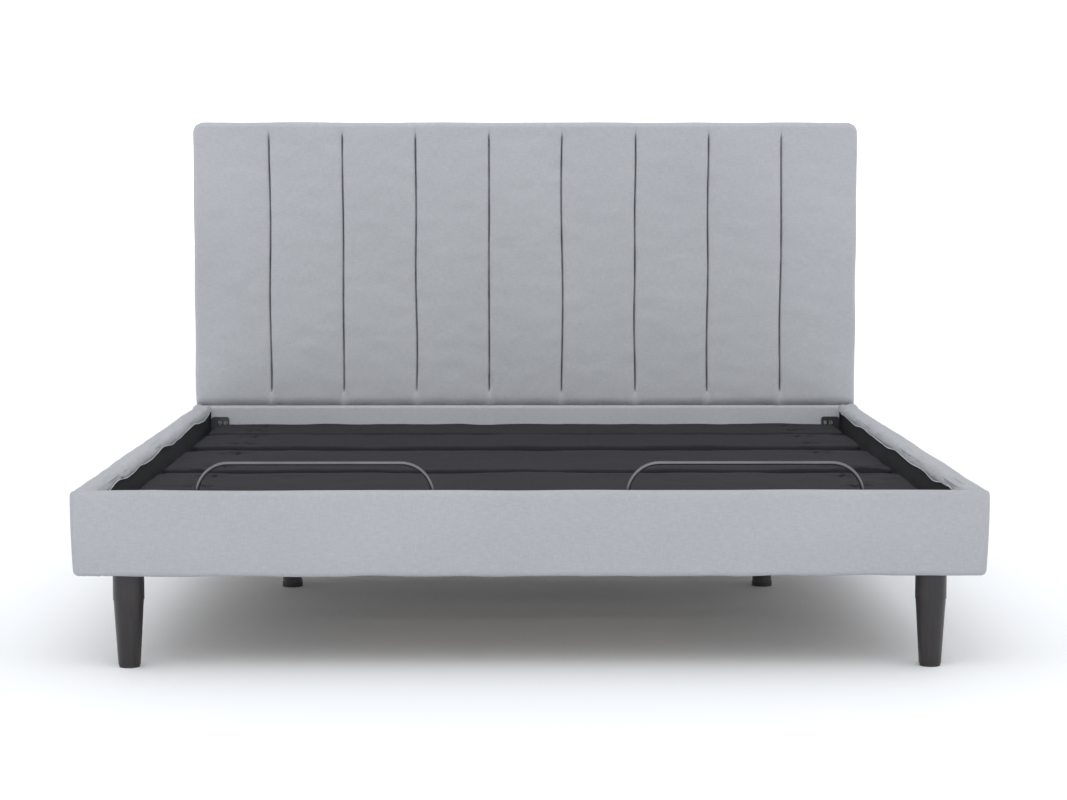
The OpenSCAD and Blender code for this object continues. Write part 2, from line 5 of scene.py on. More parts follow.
import bmesh
import bpy
import numpy as np
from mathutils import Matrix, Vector


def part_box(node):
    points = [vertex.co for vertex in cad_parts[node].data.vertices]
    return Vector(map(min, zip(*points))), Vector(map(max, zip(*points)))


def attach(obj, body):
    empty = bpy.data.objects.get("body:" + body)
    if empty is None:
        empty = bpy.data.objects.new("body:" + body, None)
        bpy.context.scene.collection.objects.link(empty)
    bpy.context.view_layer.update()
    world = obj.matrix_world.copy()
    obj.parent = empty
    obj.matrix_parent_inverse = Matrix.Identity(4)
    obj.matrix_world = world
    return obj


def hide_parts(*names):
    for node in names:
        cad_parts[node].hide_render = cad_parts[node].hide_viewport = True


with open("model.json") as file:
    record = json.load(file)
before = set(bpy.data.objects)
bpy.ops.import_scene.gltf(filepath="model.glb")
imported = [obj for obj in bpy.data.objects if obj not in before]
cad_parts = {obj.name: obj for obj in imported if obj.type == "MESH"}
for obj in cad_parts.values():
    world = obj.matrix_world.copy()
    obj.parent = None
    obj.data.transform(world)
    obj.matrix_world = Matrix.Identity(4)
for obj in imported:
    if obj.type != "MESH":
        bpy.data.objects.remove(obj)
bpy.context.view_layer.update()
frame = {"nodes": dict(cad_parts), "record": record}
SCENE = bpy.context.scene
NODES = frame["nodes"]


# -------------------- camera, light and floor

CAMERA_AT = (-0.038, -6.5015, 1.0706)
CAMERA_DOWN, CAMERA_TURN = 0.0861, -0.0083  # radians below level, and about the vertical
LENS_MM, SENSOR_MM = 82.85, 36.0


def make_camera():
    """The photo's own camera: low, in front of the foot and almost level."""
    data = bpy.data.cameras.new("camera")
    data.lens, data.sensor_width = LENS_MM, SENSOR_MM
    camera = bpy.data.objects.new("camera", data)
    camera.location = CAMERA_AT
    camera.rotation_euler = (math.pi / 2 - CAMERA_DOWN, 0.0, CAMERA_TURN)
    SCENE.collection.objects.link(camera)
    SCENE.camera = camera


def area_light(name, place, target, size, power, spread):
    """A rectangular light that the camera doesn't see. power is in watts, spread in degrees."""
    data = bpy.data.lights.new(name, "AREA")
    data.shape, data.size, data.size_y = "RECTANGLE", size[0], size[1]
    data.energy, data.spread = power, math.radians(spread)
    light = bpy.data.objects.new(name, data)
    light.location = place
    light.visible_camera = False
    light.rotation_euler = (Vector(target) - Vector(place)).to_track_quat("-Z", "Y").to_euler()
    SCENE.collection.objects.link(light)


def make_world():
    """A white studio, brighter in front than overhead, and one soft light turned to the headboard."""
    world = bpy.data.worlds.new("studio")
    world.use_nodes = True
    s = Nodes(world.node_tree)
    axes = s.axes(s.node("TexCoord"))
    front = s.times(s.math("MINIMUM", axes[1], 0.0), -0.30)
    above = s.times(s.math("MAXIMUM", axes[2], 0.0), -0.24)
    back = s.tree.nodes["Background"]
    s.put(back.inputs["Color"], (0.985, 0.99, 1.0))
    s.put(back.inputs["Strength"], s.plus(s.plus(front, above), 1.28))
    SCENE.world = world
    SCENE.view_settings.view_transform = "Standard"
    area_light("key", (-0.25, -2.1, 2.9), (-0.05, 1.06, 0.80), (2.4, 0.9), 6.5, spread=80)


# -------------------- uneven lines and fields

def ripple(seed, short, long, count=9):
    """A smooth uneven line of s with unit variance, from wavelengths between short and long."""
    r = np.random.default_rng(seed)
    k = 2 * np.pi / np.exp(r.uniform(math.log(short), math.log(long), count))
    phase, a = r.uniform(0, 2 * np.pi, count), r.uniform(0.5, 1.0, count)
    a /= math.sqrt((a * a).sum() / 2)
    return lambda s: (a * np.sin(np.asarray(s, float)[..., None] * k + phase)).sum(-1)


def swell(seed, short, long, count=14):
    """A smooth uneven field of u and v with unit variance."""
    r = np.random.default_rng(seed)
    k = 2 * np.pi / np.exp(r.uniform(math.log(short), math.log(long), count))
    turn, phase = r.uniform(0, np.pi, count), r.uniform(0, 2 * np.pi, count)
    a = math.sqrt(2 / count)

    def field(u, v):
        u, v = np.asarray(u, float)[..., None], np.asarray(v, float)[..., None]
        return (a * np.sin((u * np.cos(turn) + v * np.sin(turn)) * k + phase)).sum(-1)
    return field


def creases(seed, count, box, length, width, height, turn):
    """Short soft folds scattered in box = (u0, u1, v0, v1); turn = (least, most) angle from u."""
    r = np.random.default_rng(seed)
    cu, cv = r.uniform(box[0], box[1], count), r.uniform(box[2], box[3], count)
    long, wide = r.uniform(*length, count), r.uniform(*width, count)
    high, angle = r.uniform(-1, 1, count) * height, r.uniform(*turn, count)
    bow = r.uniform(-0.25, 0.25, count)

    def field(u, v):
        u, v = np.asarray(u, float), np.asarray(v, float)
        out = np.zeros(np.broadcast(u, v).shape)
        for i in range(count):
            du, dv = u - cu[i], v - cv[i]
            along = (du * math.cos(angle[i]) + dv * math.sin(angle[i])) / long[i]
            across = (-du * math.sin(angle[i]) + dv * math.cos(angle[i])
                      - bow[i] * long[i] * along * along) / wide[i]
            out += high[i] * np.exp(-4 * along ** 4) * (1 - across * across) * np.exp(-across * across / 2)
        return out
    return field


def step(x):
    """A soft step from 0 to 1 as x goes from 0 to 1."""
    x = np.clip(x, 0, 1)
    return x * x * (3 - 2 * x)


def lines(lo, hi, spacing, centres=(), offsets=()):
    """Grid lines from lo to hi, about spacing apart and closer round the centres."""
    fine = [c + s * d for c in centres for d in offsets for s in (-1, 1)]
    fixed = sorted({round(x, 6) for x in [lo, hi, *centres, *fine] if lo <= x <= hi})
    out = [fixed[0]]
    for x in fixed[1:]:
        n = max(1, math.ceil((x - out[-1]) / spacing - 1e-6))
        out += list(np.linspace(out[-1], x, n + 1)[1:])
    return np.array(out)


# -------------------- meshes

SHARP_ANGLE = math.radians(50)  # an edge that turns further than this is sharp
TINY = 1e-9
HEIGHT_FADE = 0.03  # how far down a panel's flank the unevenness of its face dies out


def make_piece(name, points, faces, material, cloth=None, body="bed_frame"):
    """A new mesh object that rides on a body. cloth is its fabric's own coordinates, in metres."""
    mesh = bpy.data.meshes.new(name)
    mesh.from_pydata([tuple(map(float, p)) for p in points], [], [tuple(map(int, f)) for f in faces])
    if cloth is not None:
        data = np.zeros((len(points), 3), np.float32)
        data[:, :2] = cloth
        mesh.attributes.new("cloth", "FLOAT_VECTOR", "POINT").data.foreach_set("vector", data.ravel())
    work = bmesh.new()
    work.from_mesh(mesh)
    bmesh.ops.recalc_face_normals(work, faces=work.faces)
    work.to_mesh(mesh)
    work.free()
    mesh.shade_smooth()
    mesh.set_sharp_from_angle(angle=SHARP_ANGLE)
    mesh.materials.append(material)
    obj = bpy.data.objects.new(name, mesh)
    SCENE.collection.objects.link(obj)
    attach(obj, body)
    return obj


def grid_faces(index):
    """The quads between the points of a grid, given their numbers."""
    return [(index[i, j], index[i + 1, j], index[i + 1, j + 1], index[i, j + 1])
            for i in range(index.shape[0] - 1) for j in range(index.shape[1] - 1)]


def swept(rings):
    """Faces between closed rings of the same number of points, with flat ends."""
    n, m = len(rings), len(rings[0])
    k = np.arange(m)
    faces = [(i * m + a, i * m + b, (i + 1) * m + b, (i + 1) * m + a)
             for i in range(n - 1) for a, b in zip(k, np.roll(k, -1))]
    faces += [tuple(k[::-1]), tuple((n - 1) * m + k)]
    return np.concatenate(rings), faces


def arc(centre, r, a0, a1, n):
    """n + 1 points on a circle, from angle a0 to a1 in degrees."""
    t = np.radians(np.linspace(a0, a1, n + 1))
    return [(centre[0] + r * math.cos(x), centre[1] + r * math.sin(x)) for x in t]


def rounded_grid(a_lines, b_lines, corner_r, whole):
    """A grid with its square corners bent into quarters of discs, and the outward directions along its
    outline. Without whole, the side at the first b line keeps its corners and has no direction."""
    grid_a, grid_b = np.meshgrid(a_lines, b_lines, indexing="ij")
    u, v = grid_a.copy(), grid_b.copy()
    normal = np.zeros((*u.shape, 2))
    normal[0, :, 0], normal[-1, :, 0] = -1, 1
    normal[:, -1, 1] = 1
    if whole:
        normal[:, 0, 1] = -1
    corners = [(sa, sb) for sa in (-1, 1) for sb in ((-1, 1) if whole else (1,))]
    for sa, sb in corners if corner_r > 0 else ():
        ea, eb = (a_lines[0], a_lines[-1])[sa > 0], (b_lines[0], b_lines[-1])[sb > 0]
        p, q = 1 - sa * (ea - grid_a) / corner_r, 1 - sb * (eb - grid_b) / corner_r
        inside = (p > 0) & (q > 0)
        x, y = p * np.sqrt(np.clip(1 - q * q / 2, 0, 1)), q * np.sqrt(np.clip(1 - p * p / 2, 0, 1))
        u[inside] = (ea - sa * corner_r * (1 - x))[inside]
        v[inside] = (eb - sb * corner_r * (1 - y))[inside]
        normal[inside] = np.stack([sa * x, sb * y], -1)[inside]
    normal /= np.maximum(np.linalg.norm(normal, axis=-1, keepdims=True), TINY)
    return u, v, normal


def wrapped_panel(a_lines, b_lines, corner_r, profile, height, place, whole, wobble, shift=None):
    """A padded face that wraps round its outline. profile is a list of (outwards, down) steps from the
    rim of the face. whole wraps all four sides, otherwise the side at the first b line stays open and
    is closed flat. Returns points, faces and cloth coordinates."""
    u, v, normal = rounded_grid(a_lines, b_lines, corner_r, whole)
    h = height(u, v)
    if shift is not None:
        u = u + shift(u, v)
    points, cloth = [place(u, v, h).reshape(-1, 3)], [np.stack([u, v], -1).reshape(-1, 2)]
    index = np.arange(u.size).reshape(u.shape)
    faces = grid_faces(index)
    closing = [*index[-1, :0:-1], *index[:0:-1, 0]] if whole else index[-1, ::-1]
    loop = np.array([*index[0, :-1], *index[:-1, -1], *closing])
    lu, lv, lh = u.ravel()[loop], v.ravel()[loop], h.ravel()[loop]
    ln = normal.reshape(-1, 2)[loop]
    if not whole:
        ln[0], ln[-1] = (-1, 0), (1, 0)
    s = np.concatenate([[0], np.cumsum(np.hypot(np.diff(lu), np.diff(lv)))])
    before, travelled, last = loop, 0.0, (0.0, 0.0)
    count, m, rows = u.size, len(loop), [loop]
    for out, down in profile:
        travelled += math.hypot(out - last[0], down - last[1])
        last = (out, down)
        fade = max(0.0, 1 - down / HEIGHT_FADE)
        more = wobble(s, out, down)
        pu, pv = lu + ln[:, 0] * (out + more), lv + ln[:, 1] * (out + more)
        points.append(place(pu, pv, lh * fade - down))
        cloth.append(np.stack([lu + ln[:, 0] * travelled, lv + ln[:, 1] * travelled], -1))
        ring = count + np.arange(m)
        count += m
        faces += [(before[i], before[(i + 1) % m], ring[(i + 1) % m], ring[i])
                  for i in range(m if whole else m - 1)]
        rows.append(ring)
        before = ring
    faces.append(tuple(before[::-1]))
    if not whole:
        faces.append(tuple([*index[:, 0], *[r[-1] for r in rows[1:]], *[r[0] for r in rows[:0:-1]]]))
    return np.concatenate(points), faces, np.concatenate(cloth)


# -------------------- materials

class Nodes:
    """Short names for building a tree of shader nodes."""

    def __init__(self, tree):
        self.tree = tree

    def put(self, socket, value):
        """Links or sets a socket. Colours come without their alpha."""
        if isinstance(value, bpy.types.NodeSocket):
            self.tree.links.new(value, socket)
        elif value is not None:
            socket.default_value = (*value, 1.0) if socket.type == "RGBA" else value

    def node(self, kind, inputs=(), out=0, **settings):
        n = self.tree.nodes.new("ShaderNode" + kind)
        for k, v in settings.items():
            setattr(n, k, v)
        for k, v in (inputs.items() if isinstance(inputs, dict) else enumerate(inputs)):
            self.put(n.inputs[k], v)
        return n.outputs[out]

    def math(self, how, a, b=None):
        return self.node("Math", [a, b], operation=how)

    def times(self, a, b):
        return self.math("MULTIPLY", a, b)

    def plus(self, a, b):
        return self.math("ADD", a, b)

    def axes(self, vector):
        """The three separate coordinates of a vector."""
        sep = self.tree.nodes.new("ShaderNodeSeparateXYZ")
        self.put(sep.inputs[0], vector)
        return sep.outputs

    def scaled(self, vector, scale):
        return self.node("VectorMath", [vector, tuple(scale)], operation="MULTIPLY")

    def noise(self, vector, scale=1.0, detail=2.0, rough=0.5):
        return self.node("TexNoise", {"Vector": vector, "Scale": scale, "Detail": detail,
                                      "Roughness": rough})

    def mix(self, factor, a, b):
        """One colour fading into another."""
        return self.node("Mix", {0: factor, 6: a, 7: b}, out=2, data_type="RGBA")

    def remap(self, value, lo, hi, to_lo=0.0, to_hi=1.0):
        return self.node("MapRange", [value, lo, hi, to_lo, to_hi])

    def spread(self, noise, lo=0.0, hi=1.0):
        """A noise texture's usual range, stretched to run from lo to hi."""
        return self.remap(noise, 0.3, 0.7, lo, hi)

    def bump(self, height, strength, distance):
        return self.node("Bump", {"Strength": strength, "Distance": distance, "Height": height})


class Shader(Nodes):
    """One procedural material."""

    def __init__(self, name):
        self.material = bpy.data.materials.new(name)
        self.material.use_nodes = True
        super().__init__(self.material.node_tree)
        self.tree.nodes.clear()
        self.surface = self.tree.nodes.new("ShaderNodeBsdfPrincipled")
        out = self.tree.nodes.new("ShaderNodeOutputMaterial")
        self.tree.links.new(self.surface.outputs[0], out.inputs["Surface"])

    def finish(self, **sockets):
        """Sets or links the surface's sockets, named in lower case, and returns the material."""
        for name, value in sockets.items():
            self.put(self.surface.inputs[name.replace("_", " ").title().replace("Ior", "IOR")], value)
        return self.material


def woven(name, light, dark, pitch, sheen, contrast=1.0, depth=0.00035):
    """A plain weave in cloth coordinates, with slubs along the yarns, faint uneven dye, and painted shade
    between the yarns with painted light on their crowns.
    """
    s = Shader(name)
    uv = s.node("Attribute", attribute_name="cloth", out=1)
    axes = s.axes(uv)
    turn_u, turn_v = (s.times(axes[i], math.pi / pitch) for i in (0, 1))
    over = s.remap(s.times(s.math("SINE", turn_u), s.math("SINE", turn_v)), -0.15, 0.15)
    warp = s.math("ABSOLUTE", s.math("COSINE", turn_u))
    weft = s.math("ABSOLUTE", s.math("COSINE", turn_v))
    thread = s.node("Mix", {0: over, 2: s.math("SUBTRACT", 1.0, warp), 3: s.math("SUBTRACT", 1.0, weft)})
    slub_u = s.noise(s.scaled(uv, (45, 900, 1)), detail=3, rough=0.6)
    slub_v = s.noise(s.scaled(uv, (900, 45, 1)), detail=3, rough=0.6)
    slub = s.node("Mix", {0: over, 2: slub_v, 3: slub_u})
    mottle = s.noise(s.scaled(uv, (60, 170, 1)), detail=3, rough=0.6)
    broad = s.noise(uv, scale=2.4, detail=2)
    shade = s.plus(s.spread(slub, -0.26 * contrast, 0.26 * contrast),
                   s.spread(mottle, -0.06 * contrast, 0.06 * contrast))
    shade = s.plus(shade, s.spread(broad, -0.05, 0.05))
    # painted shade and light: the cloth is darker between the yarns and lighter on their crowns, as if lit
    shade = s.plus(shade, s.remap(thread, 0.0, 1.0, -0.22, 0.16))
    colour = s.mix(s.plus(shade, 0.5), dark, light)
    high = s.plus(thread, s.times(slub, 0.8))
    return s.finish(base_color=colour, roughness=0.93, specular_ior_level=0.14,
                    sheen_weight=sheen, sheen_roughness=0.42, sheen_tint=(0.96, 0.97, 1.0),
                    normal=s.bump(high, 0.55, depth))


def nonwoven(name, colour):
    """Thin spunbonded cloth with its small round bond points."""
    s = Shader(name)
    uv = s.node("Attribute", attribute_name="cloth", out=1)
    dots = s.node("TexVoronoi", {"Vector": s.scaled(uv, (1, 1, 0)), "Scale": 520.0, "Randomness": 0.25})
    fibres = s.noise(s.scaled(uv, (260, 700, 1)), detail=5, rough=0.7)
    broad = s.noise(uv, scale=5.0, detail=3)
    shade = s.plus(s.spread(fibres, 0.0, 0.6), s.spread(broad, 0.0, 0.4))
    paler = tuple(min(1.0, c * 2.1 + 0.004) for c in colour)
    high = s.plus(s.remap(dots, 0.0, 0.35), s.times(fibres, 0.6))
    return s.finish(base_color=s.mix(shade, colour, paler), roughness=0.88,
                    specular_ior_level=0.25, normal=s.bump(high, 0.4, 0.0002))


PLY_PAIR = 0.0036  # one light and one dark ply


def timber(name, axis, ply=False):
    """Raw softwood with its grain along an axis, or plywood with its plies on the cut edges."""
    s = Shader(name)
    where = s.node("TexCoord", out=3)
    stretch = [14.0, 14.0, 14.0]
    stretch[axis] = 1.1
    ring = s.noise(s.scaled(where, stretch), scale=1.6, detail=3, rough=0.5)
    bands = s.math("SINE", s.times(ring, 46.0))
    fine = s.noise(s.scaled(where, [60 if i != axis else 3.0 for i in range(3)]), scale=5.0, detail=4)
    shade = s.plus(s.remap(bands, -1, 1, 0.0, 0.55), s.spread(fine, 0.0, 0.45))
    colour = s.mix(shade, (0.50, 0.385, 0.255), (0.34, 0.245, 0.15))
    if ply:
        height, facing = s.axes(where)[2], s.axes(s.node("TexCoord", out=1))[2]
        plies = s.remap(s.math("SINE", s.times(height, 2 * math.pi / PLY_PAIR)), -0.3, 0.3)
        edge = s.math("LESS_THAN", s.math("ABSOLUTE", facing), 0.5)
        cut = s.mix(s.plus(s.times(plies, 0.75), s.times(fine, 0.25)),
                    (0.60, 0.42, 0.25), (0.22, 0.12, 0.06))
        colour = s.mix(edge, colour, cut)
    return s.finish(base_color=colour, roughness=0.72, specular_ior_level=0.3,
                    normal=s.bump(fine, 0.25, 0.0004))


def stained_wood(name):
    """Dark stained legs: long grain, open pores and a thin satin coat."""
    s = Shader(name)
    where = s.node("TexCoord", out=3)
    grain = s.noise(s.scaled(where, (70, 70, 3.2)), scale=2.6, detail=5, rough=0.62)
    pores = s.noise(s.scaled(where, (520, 520, 16)), scale=1.2, detail=2)
    pore = s.remap(pores, 0.62, 0.7)
    colour = s.mix(s.remap(grain, 0.32, 0.68), (0.0080, 0.0062, 0.0070), (0.021, 0.0158, 0.0168))
    colour = s.mix(s.times(pore, 0.6), colour, (0.010, 0.007, 0.007))
    high = s.math("SUBTRACT", s.times(grain, 0.5), pore)
    rough = s.spread(grain, 0.33, 0.43)
    return s.finish(base_color=colour, roughness=rough, specular_ior_level=0.45, coat_weight=0.16,
                    coat_roughness=0.24, normal=s.bump(high, 0.16, 0.0003))


def painted(name, colour, rough, grain=1500.0, strength=0.10, metal=0.0, worn=(0.10, 0.10, 0.105)):
    """A powder coat: fine orange peel, a little dust, and thinner paint along the edges."""
    s = Shader(name)
    where = s.node("TexCoord", out=3)
    peel = s.noise(where, scale=grain, detail=1)
    cloud = s.noise(where, scale=9.0, detail=4, rough=0.6)
    rub = s.times(s.remap(s.node("NewGeometry", out=7), 0.56, 0.66), s.remap(cloud, 0.45, 0.62))
    base = s.mix(s.remap(cloud, 0.35, 0.7), colour, [c * 1.35 + 0.002 for c in colour])
    return s.finish(base_color=s.mix(s.times(rub, 0.6), base, worn), metallic=metal,
                    roughness=s.spread(cloud, rough - 0.05, rough + 0.06),
                    normal=s.bump(peel, strength, 0.00025))


def bare_metal(name, colour, rough, streak):
    """Plated or ground steel, with fine marks along one axis."""
    s = Shader(name)
    where = s.node("TexCoord", out=3)
    marks = s.noise(s.scaled(where, streak), scale=1.0, detail=3, rough=0.65)
    cloud = s.noise(where, scale=14.0, detail=3)
    base = s.mix(s.spread(cloud), colour, [c * 0.82 for c in colour])
    return s.finish(base_color=base, metallic=1.0,
                    roughness=s.spread(marks, rough - 0.06, rough + 0.08),
                    normal=s.bump(marks, 0.08, 0.0001))


def moulded(name, colour, rough, grain):
    """Spark-eroded plastic or rubber."""
    s = Shader(name)
    where = s.node("TexCoord", out=3)
    spark = s.node("TexVoronoi", {"Vector": where, "Scale": grain})
    cloud = s.noise(where, scale=12.0, detail=3)
    base = s.mix(s.spread(cloud), colour, [c * 1.4 for c in colour])
    return s.finish(base_color=base, roughness=rough, specular_ior_level=0.4,
                    normal=s.bump(spark, 0.25, 0.0002))


FLOOR_HALF = 40.0


def make_floor():
    """A plain pale floor."""
    s = Shader("pale_floor")
    where = s.node("TexCoord", out=3)
    tone = s.noise(where, scale=0.8, detail=2)
    floor_material = s.finish(base_color=s.mix(tone, (0.915, 0.935, 0.96), (0.93, 0.945, 0.965)),
                              roughness=0.75, specular_ior_level=0.25)
    side = np.linspace(-FLOOR_HALF, FLOOR_HALF, 9)
    points = [(x, y, 0.0) for x in side for y in side]
    faces = grid_faces(np.arange(side.size ** 2).reshape(side.size, side.size))
    mesh = bpy.data.meshes.new("floor")
    mesh.from_pydata(points, [], [tuple(map(int, f)) for f in faces])
    mesh.materials.append(floor_material)
    floor = bpy.data.objects.new("floor", mesh)
    SCENE.collection.objects.link(floor)


make_camera()
make_world()
make_floor()

FABRIC = woven("rail_fabric", (0.515, 0.530, 0.558), (0.295, 0.306, 0.326), 0.00125, 0.04)
TICKING = woven("deck_fabric", (0.0335, 0.0331, 0.0385), (0.0155, 0.0153, 0.0183), 0.0009, 0.012,
                contrast=0.85)
LINING = nonwoven("lining", (0.0085, 0.0088, 0.0105))
# the hem's pale cloth is a painted highlight: it stands for the light that the folded edge catches
HIGHLIT_HEM = woven("hem", (0.86, 0.87, 0.88), (0.62, 0.63, 0.65), 0.0010, 0.10)
SLOTS = {
    "rail_fabric": FABRIC, "deck_fabric": TICKING, "lining": LINING,
    "timber": timber("timber", 0), "leg_wood": stained_wood("leg_wood"),
    "black_steel": painted("black_steel", (0.016, 0.016, 0.018), 0.42),
    "zinc_steel": bare_metal("zinc_steel", (0.50, 0.505, 0.52), 0.26, (300, 300, 40)),
    "bar_steel": painted("bar_steel", (0.118, 0.121, 0.126), 0.19, metal=0.92, worn=(0.20, 0.20, 0.21)),
    "rod_steel": bare_metal("rod_steel", (0.74, 0.74, 0.75), 0.16, (900, 30, 900)),
    "black_screws": painted("black_screws", (0.014, 0.014, 0.015), 0.36, strength=0.05),
    "black_plastic": moulded("black_plastic", (0.020, 0.020, 0.022), 0.55, 900.0),
    "rubber": moulded("rubber", (0.016, 0.016, 0.016), 0.82, 420.0),
}
OWN_MATERIALS = {
    "side_rail_boards": timber("timber_y", 1), "headboard_frame": timber("timber_z", 2),
    **dict.fromkeys([f"{n}_board" for n in ("seat", "back", "pillow", "thigh", "calf", "headboard")],
                    timber("plywood", 0, ply=True)),
}
ROUND_EDGES = {"black_steel": 0.0012, "zinc_steel": 0.0006, "timber": 0.0015, "black_plastic": 0.0020,
               "rubber": 0.0012}
for part in frame["record"]["subparts"]:
    obj, slot_name = NODES[part["node"]], part["material_slot"]
    material = OWN_MATERIALS.get(part["node"], SLOTS[slot_name])
    obj.data.materials.clear()
    obj.data.materials.append(material)
    if slot_name in ROUND_EDGES:
        bevel = obj.modifiers.new("rounded_edges", "BEVEL")
        bevel.width, bevel.segments = ROUND_EDGES[slot_name], 2
        bevel.limit_method, bevel.angle_limit = "ANGLE", SHARP_ANGLE
        bevel.harden_normals = True


# -------------------- headboard

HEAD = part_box("headboard_channel_pad")
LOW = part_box("headboard_lower_pad")
SEAM_Z, HEAD_Y, BACK_Y, TOP_Z, HALF = HEAD[0].z, HEAD[0].y, HEAD[1].y, HEAD[1].z, HEAD[1].x
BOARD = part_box("headboard_board")
CHANNELS, CHANNEL_W = 9, 0.223
SEAMS = [(i - CHANNELS / 2) * CHANNEL_W for i in range(1, CHANNELS)]
SEAM_TOP, SEAM_END = TOP_Z - 0.033 - SEAM_Z, 0.043  # the stitching's two ends, above the bottom seam
EDGE_R = 0.013
HEAD_CORNER_R = 0.016
SKIN = HALF - BOARD[1].x  # the padding over the board's ends
seam_paths = [ripple(20 + i, 0.35, 1.6, 5) for i in range(len(SEAMS))]
seam_depths = [ripple(40 + i, 0.06, 0.4) for i in range(len(SEAMS))]


def channel_height(u, v):
    """The padded face: nine soft channels with stitched grooves, which roll back at the bottom seam."""
    h = 0.0012 * swell(1, 0.25, 0.9)(u, v) + 0.0004 * swell(2, 0.05, 0.16)(u, v)
    h = h + creases(3, 90, (-HALF, HALF, 0.05, TOP_Z - SEAM_Z), (0.02, 0.07), (0.003, 0.007),
                    0.0010, (-0.3, 0.3))(u, v)
    h = h + 0.0022
    roll = np.ones_like(h)  # how far the padding rolls back at the bottom seam
    for i, a in enumerate(SEAMS):
        d = u - a
        live = step((SEAM_TOP + 0.006 - v) / 0.030) * step((v - SEAM_END + 0.001) / 0.010)
        soft = step((SEAM_TOP + 0.035 - v) / 0.060) * step((v - 0.012) / 0.045)
        depth = 1 + 0.12 * seam_depths[i](v)
        # the stitched groove, in a softer valley
        h = h - live * depth * 0.0145 * np.exp(-(np.abs(d) / 0.0020) ** 1.8)
        h = h - soft * depth * 0.0036 * np.exp(-(np.abs(d) / 0.013) ** 1.25)
        # the folds that fan out below and above the ends of the stitching
        under = step((SEAM_END + 0.006 - v) / 0.016)
        spread = 0.004 + 0.42 * np.clip(SEAM_END - v, 0, 1)
        for sign in (-1, 1):
            h = h - 0.0017 * under * np.exp(-((d - sign * spread) / 0.0042) ** 2)
        h = h + 0.0012 * under * np.exp(-(d / 0.0065) ** 2)
        above = step((v - SEAM_TOP + 0.006) / 0.012) * step((TOP_Z - SEAM_Z - v) / 0.03)
        h = h - 0.0009 * above * np.exp(-(d / 0.007) ** 2)
        roll = roll - 0.45 * np.exp(-(d / 0.013) ** 2)
    roll = roll * (1 + 0.10 * ripple(5, 0.05, 0.3)(u))
    back = np.clip(1 - v / 0.025, 0, 1)
    return h - 0.0150 * roll * back ** 2.3 - 0.004 * np.clip(1 - v / 0.10, 0, 1) ** 2


def seam_shift(u, v):
    """Sideways drift of the fabric, so that no seam runs dead straight."""
    out = np.zeros_like(u)
    for a, path in zip(SEAMS, seam_paths):
        out += 0.0012 * path(v) * np.exp(-((u - a) / 0.05) ** 2)
    return out


def edge_wobble(seed, amount):
    """An uneven outline that swells a little halfway down the flank."""
    line = ripple(seed, 0.14, 0.9)
    fine = ripple(seed + 1, 0.04, 0.12)

    def wobble(s, out, down):
        full = min(1.0, max(out, 0.0) / EDGE_R)
        flank = math.sin(math.pi * min(1.0, down / (BACK_Y - HEAD_Y)))
        return (amount * line(s) + 0.15 * amount * fine(s)) * full + 0.0015 * flank
    return wobble


def make_headboard():
    """The channelled cover and, below the seam, the plain one. They share one edge profile."""
    depth = BACK_Y - HEAD_Y
    foam = BOARD[0].y - HEAD_Y
    # the border rolls over the edge behind a shallow pressed line
    rim = [(0.0026, 0.0003), (0.0042, 0.0012), (0.0056, 0.0016), (0.0074, 0.0022), (0.0092, 0.0037),
           (0.0112, 0.0062), (0.0125, 0.0092), (EDGE_R, EDGE_R)]
    flank = [(EDGE_R, d) for d in np.linspace(EDGE_R, depth - 0.004, 8)[1:]]
    fold = [(EDGE_R - 0.0012, depth - 0.0018), (EDGE_R - 0.004, depth - 0.0008),
            (EDGE_R - 0.012, depth - 0.0008), (EDGE_R - 0.024, depth - 0.0010),
            (EDGE_R - 0.024, depth - 0.0030), (EDGE_R - SKIN + 0.0002, depth - 0.0036),
            (EDGE_R - SKIN + 0.0002, foam)]
    across = lines(-HALF + EDGE_R, HALF - EDGE_R, 0.0125, SEAMS,
                   (0.0008, 0.0016, 0.0024, 0.0034, 0.0050, 0.0080, 0.0135, 0.0230))
    up = np.concatenate([[0, 0.002, 0.0045, 0.008], np.linspace(0.012, TOP_Z - SEAM_Z - EDGE_R, 112)])
    points, faces, cloth = wrapped_panel(
        across, up, HEAD_CORNER_R, rim + flank + fold, channel_height,
        lambda a, b, h: np.stack([a, HEAD_Y - h, SEAM_Z + b], -1), False,
        edge_wobble(6, 0.0006), seam_shift)
    pad = make_piece("headboard_channel_cover", points, faces, FABRIC, cloth)
    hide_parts("headboard_channel_pad")

    low_h = SEAM_Z - LOW[0].z
    swells = swell(8, 0.18, 0.7)
    folds = creases(9, 26, (-HALF, HALF, 0.01, 0.15), (0.03, 0.09), (0.004, 0.009), 0.0008, (-0.5, 0.5))

    def low_height(u, v):
        lip = np.clip(1 - v / 0.007, 0, 1)
        h = 0.0002 + 0.0009 * swells(u, v) + folds(u, v)
        for a in SEAMS:
            h = h - 0.0012 * np.exp(-((u - a) / 0.010) ** 2) * np.clip(1 - v / 0.03, 0, 1)
        return h - 0.0075 * lip ** 2

    down = np.concatenate([[0, 0.0012, 0.0026, 0.0045, 0.007], np.linspace(0.011, low_h - EDGE_R, 18)])
    points, faces, cloth = wrapped_panel(
        lines(-HALF + EDGE_R, HALF - EDGE_R, 0.0125, SEAMS, (0.005, 0.012)), down, 0.0, rim + flank + fold,
        low_height, lambda a, b, h: np.stack([a, HEAD_Y - h, SEAM_Z - 0.0006 - b], -1), False,
        edge_wobble(10, 0.0007))
    pad = make_piece("headboard_lower_cover", points, faces, FABRIC, cloth)
    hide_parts("headboard_lower_pad")


# -------------------- rails

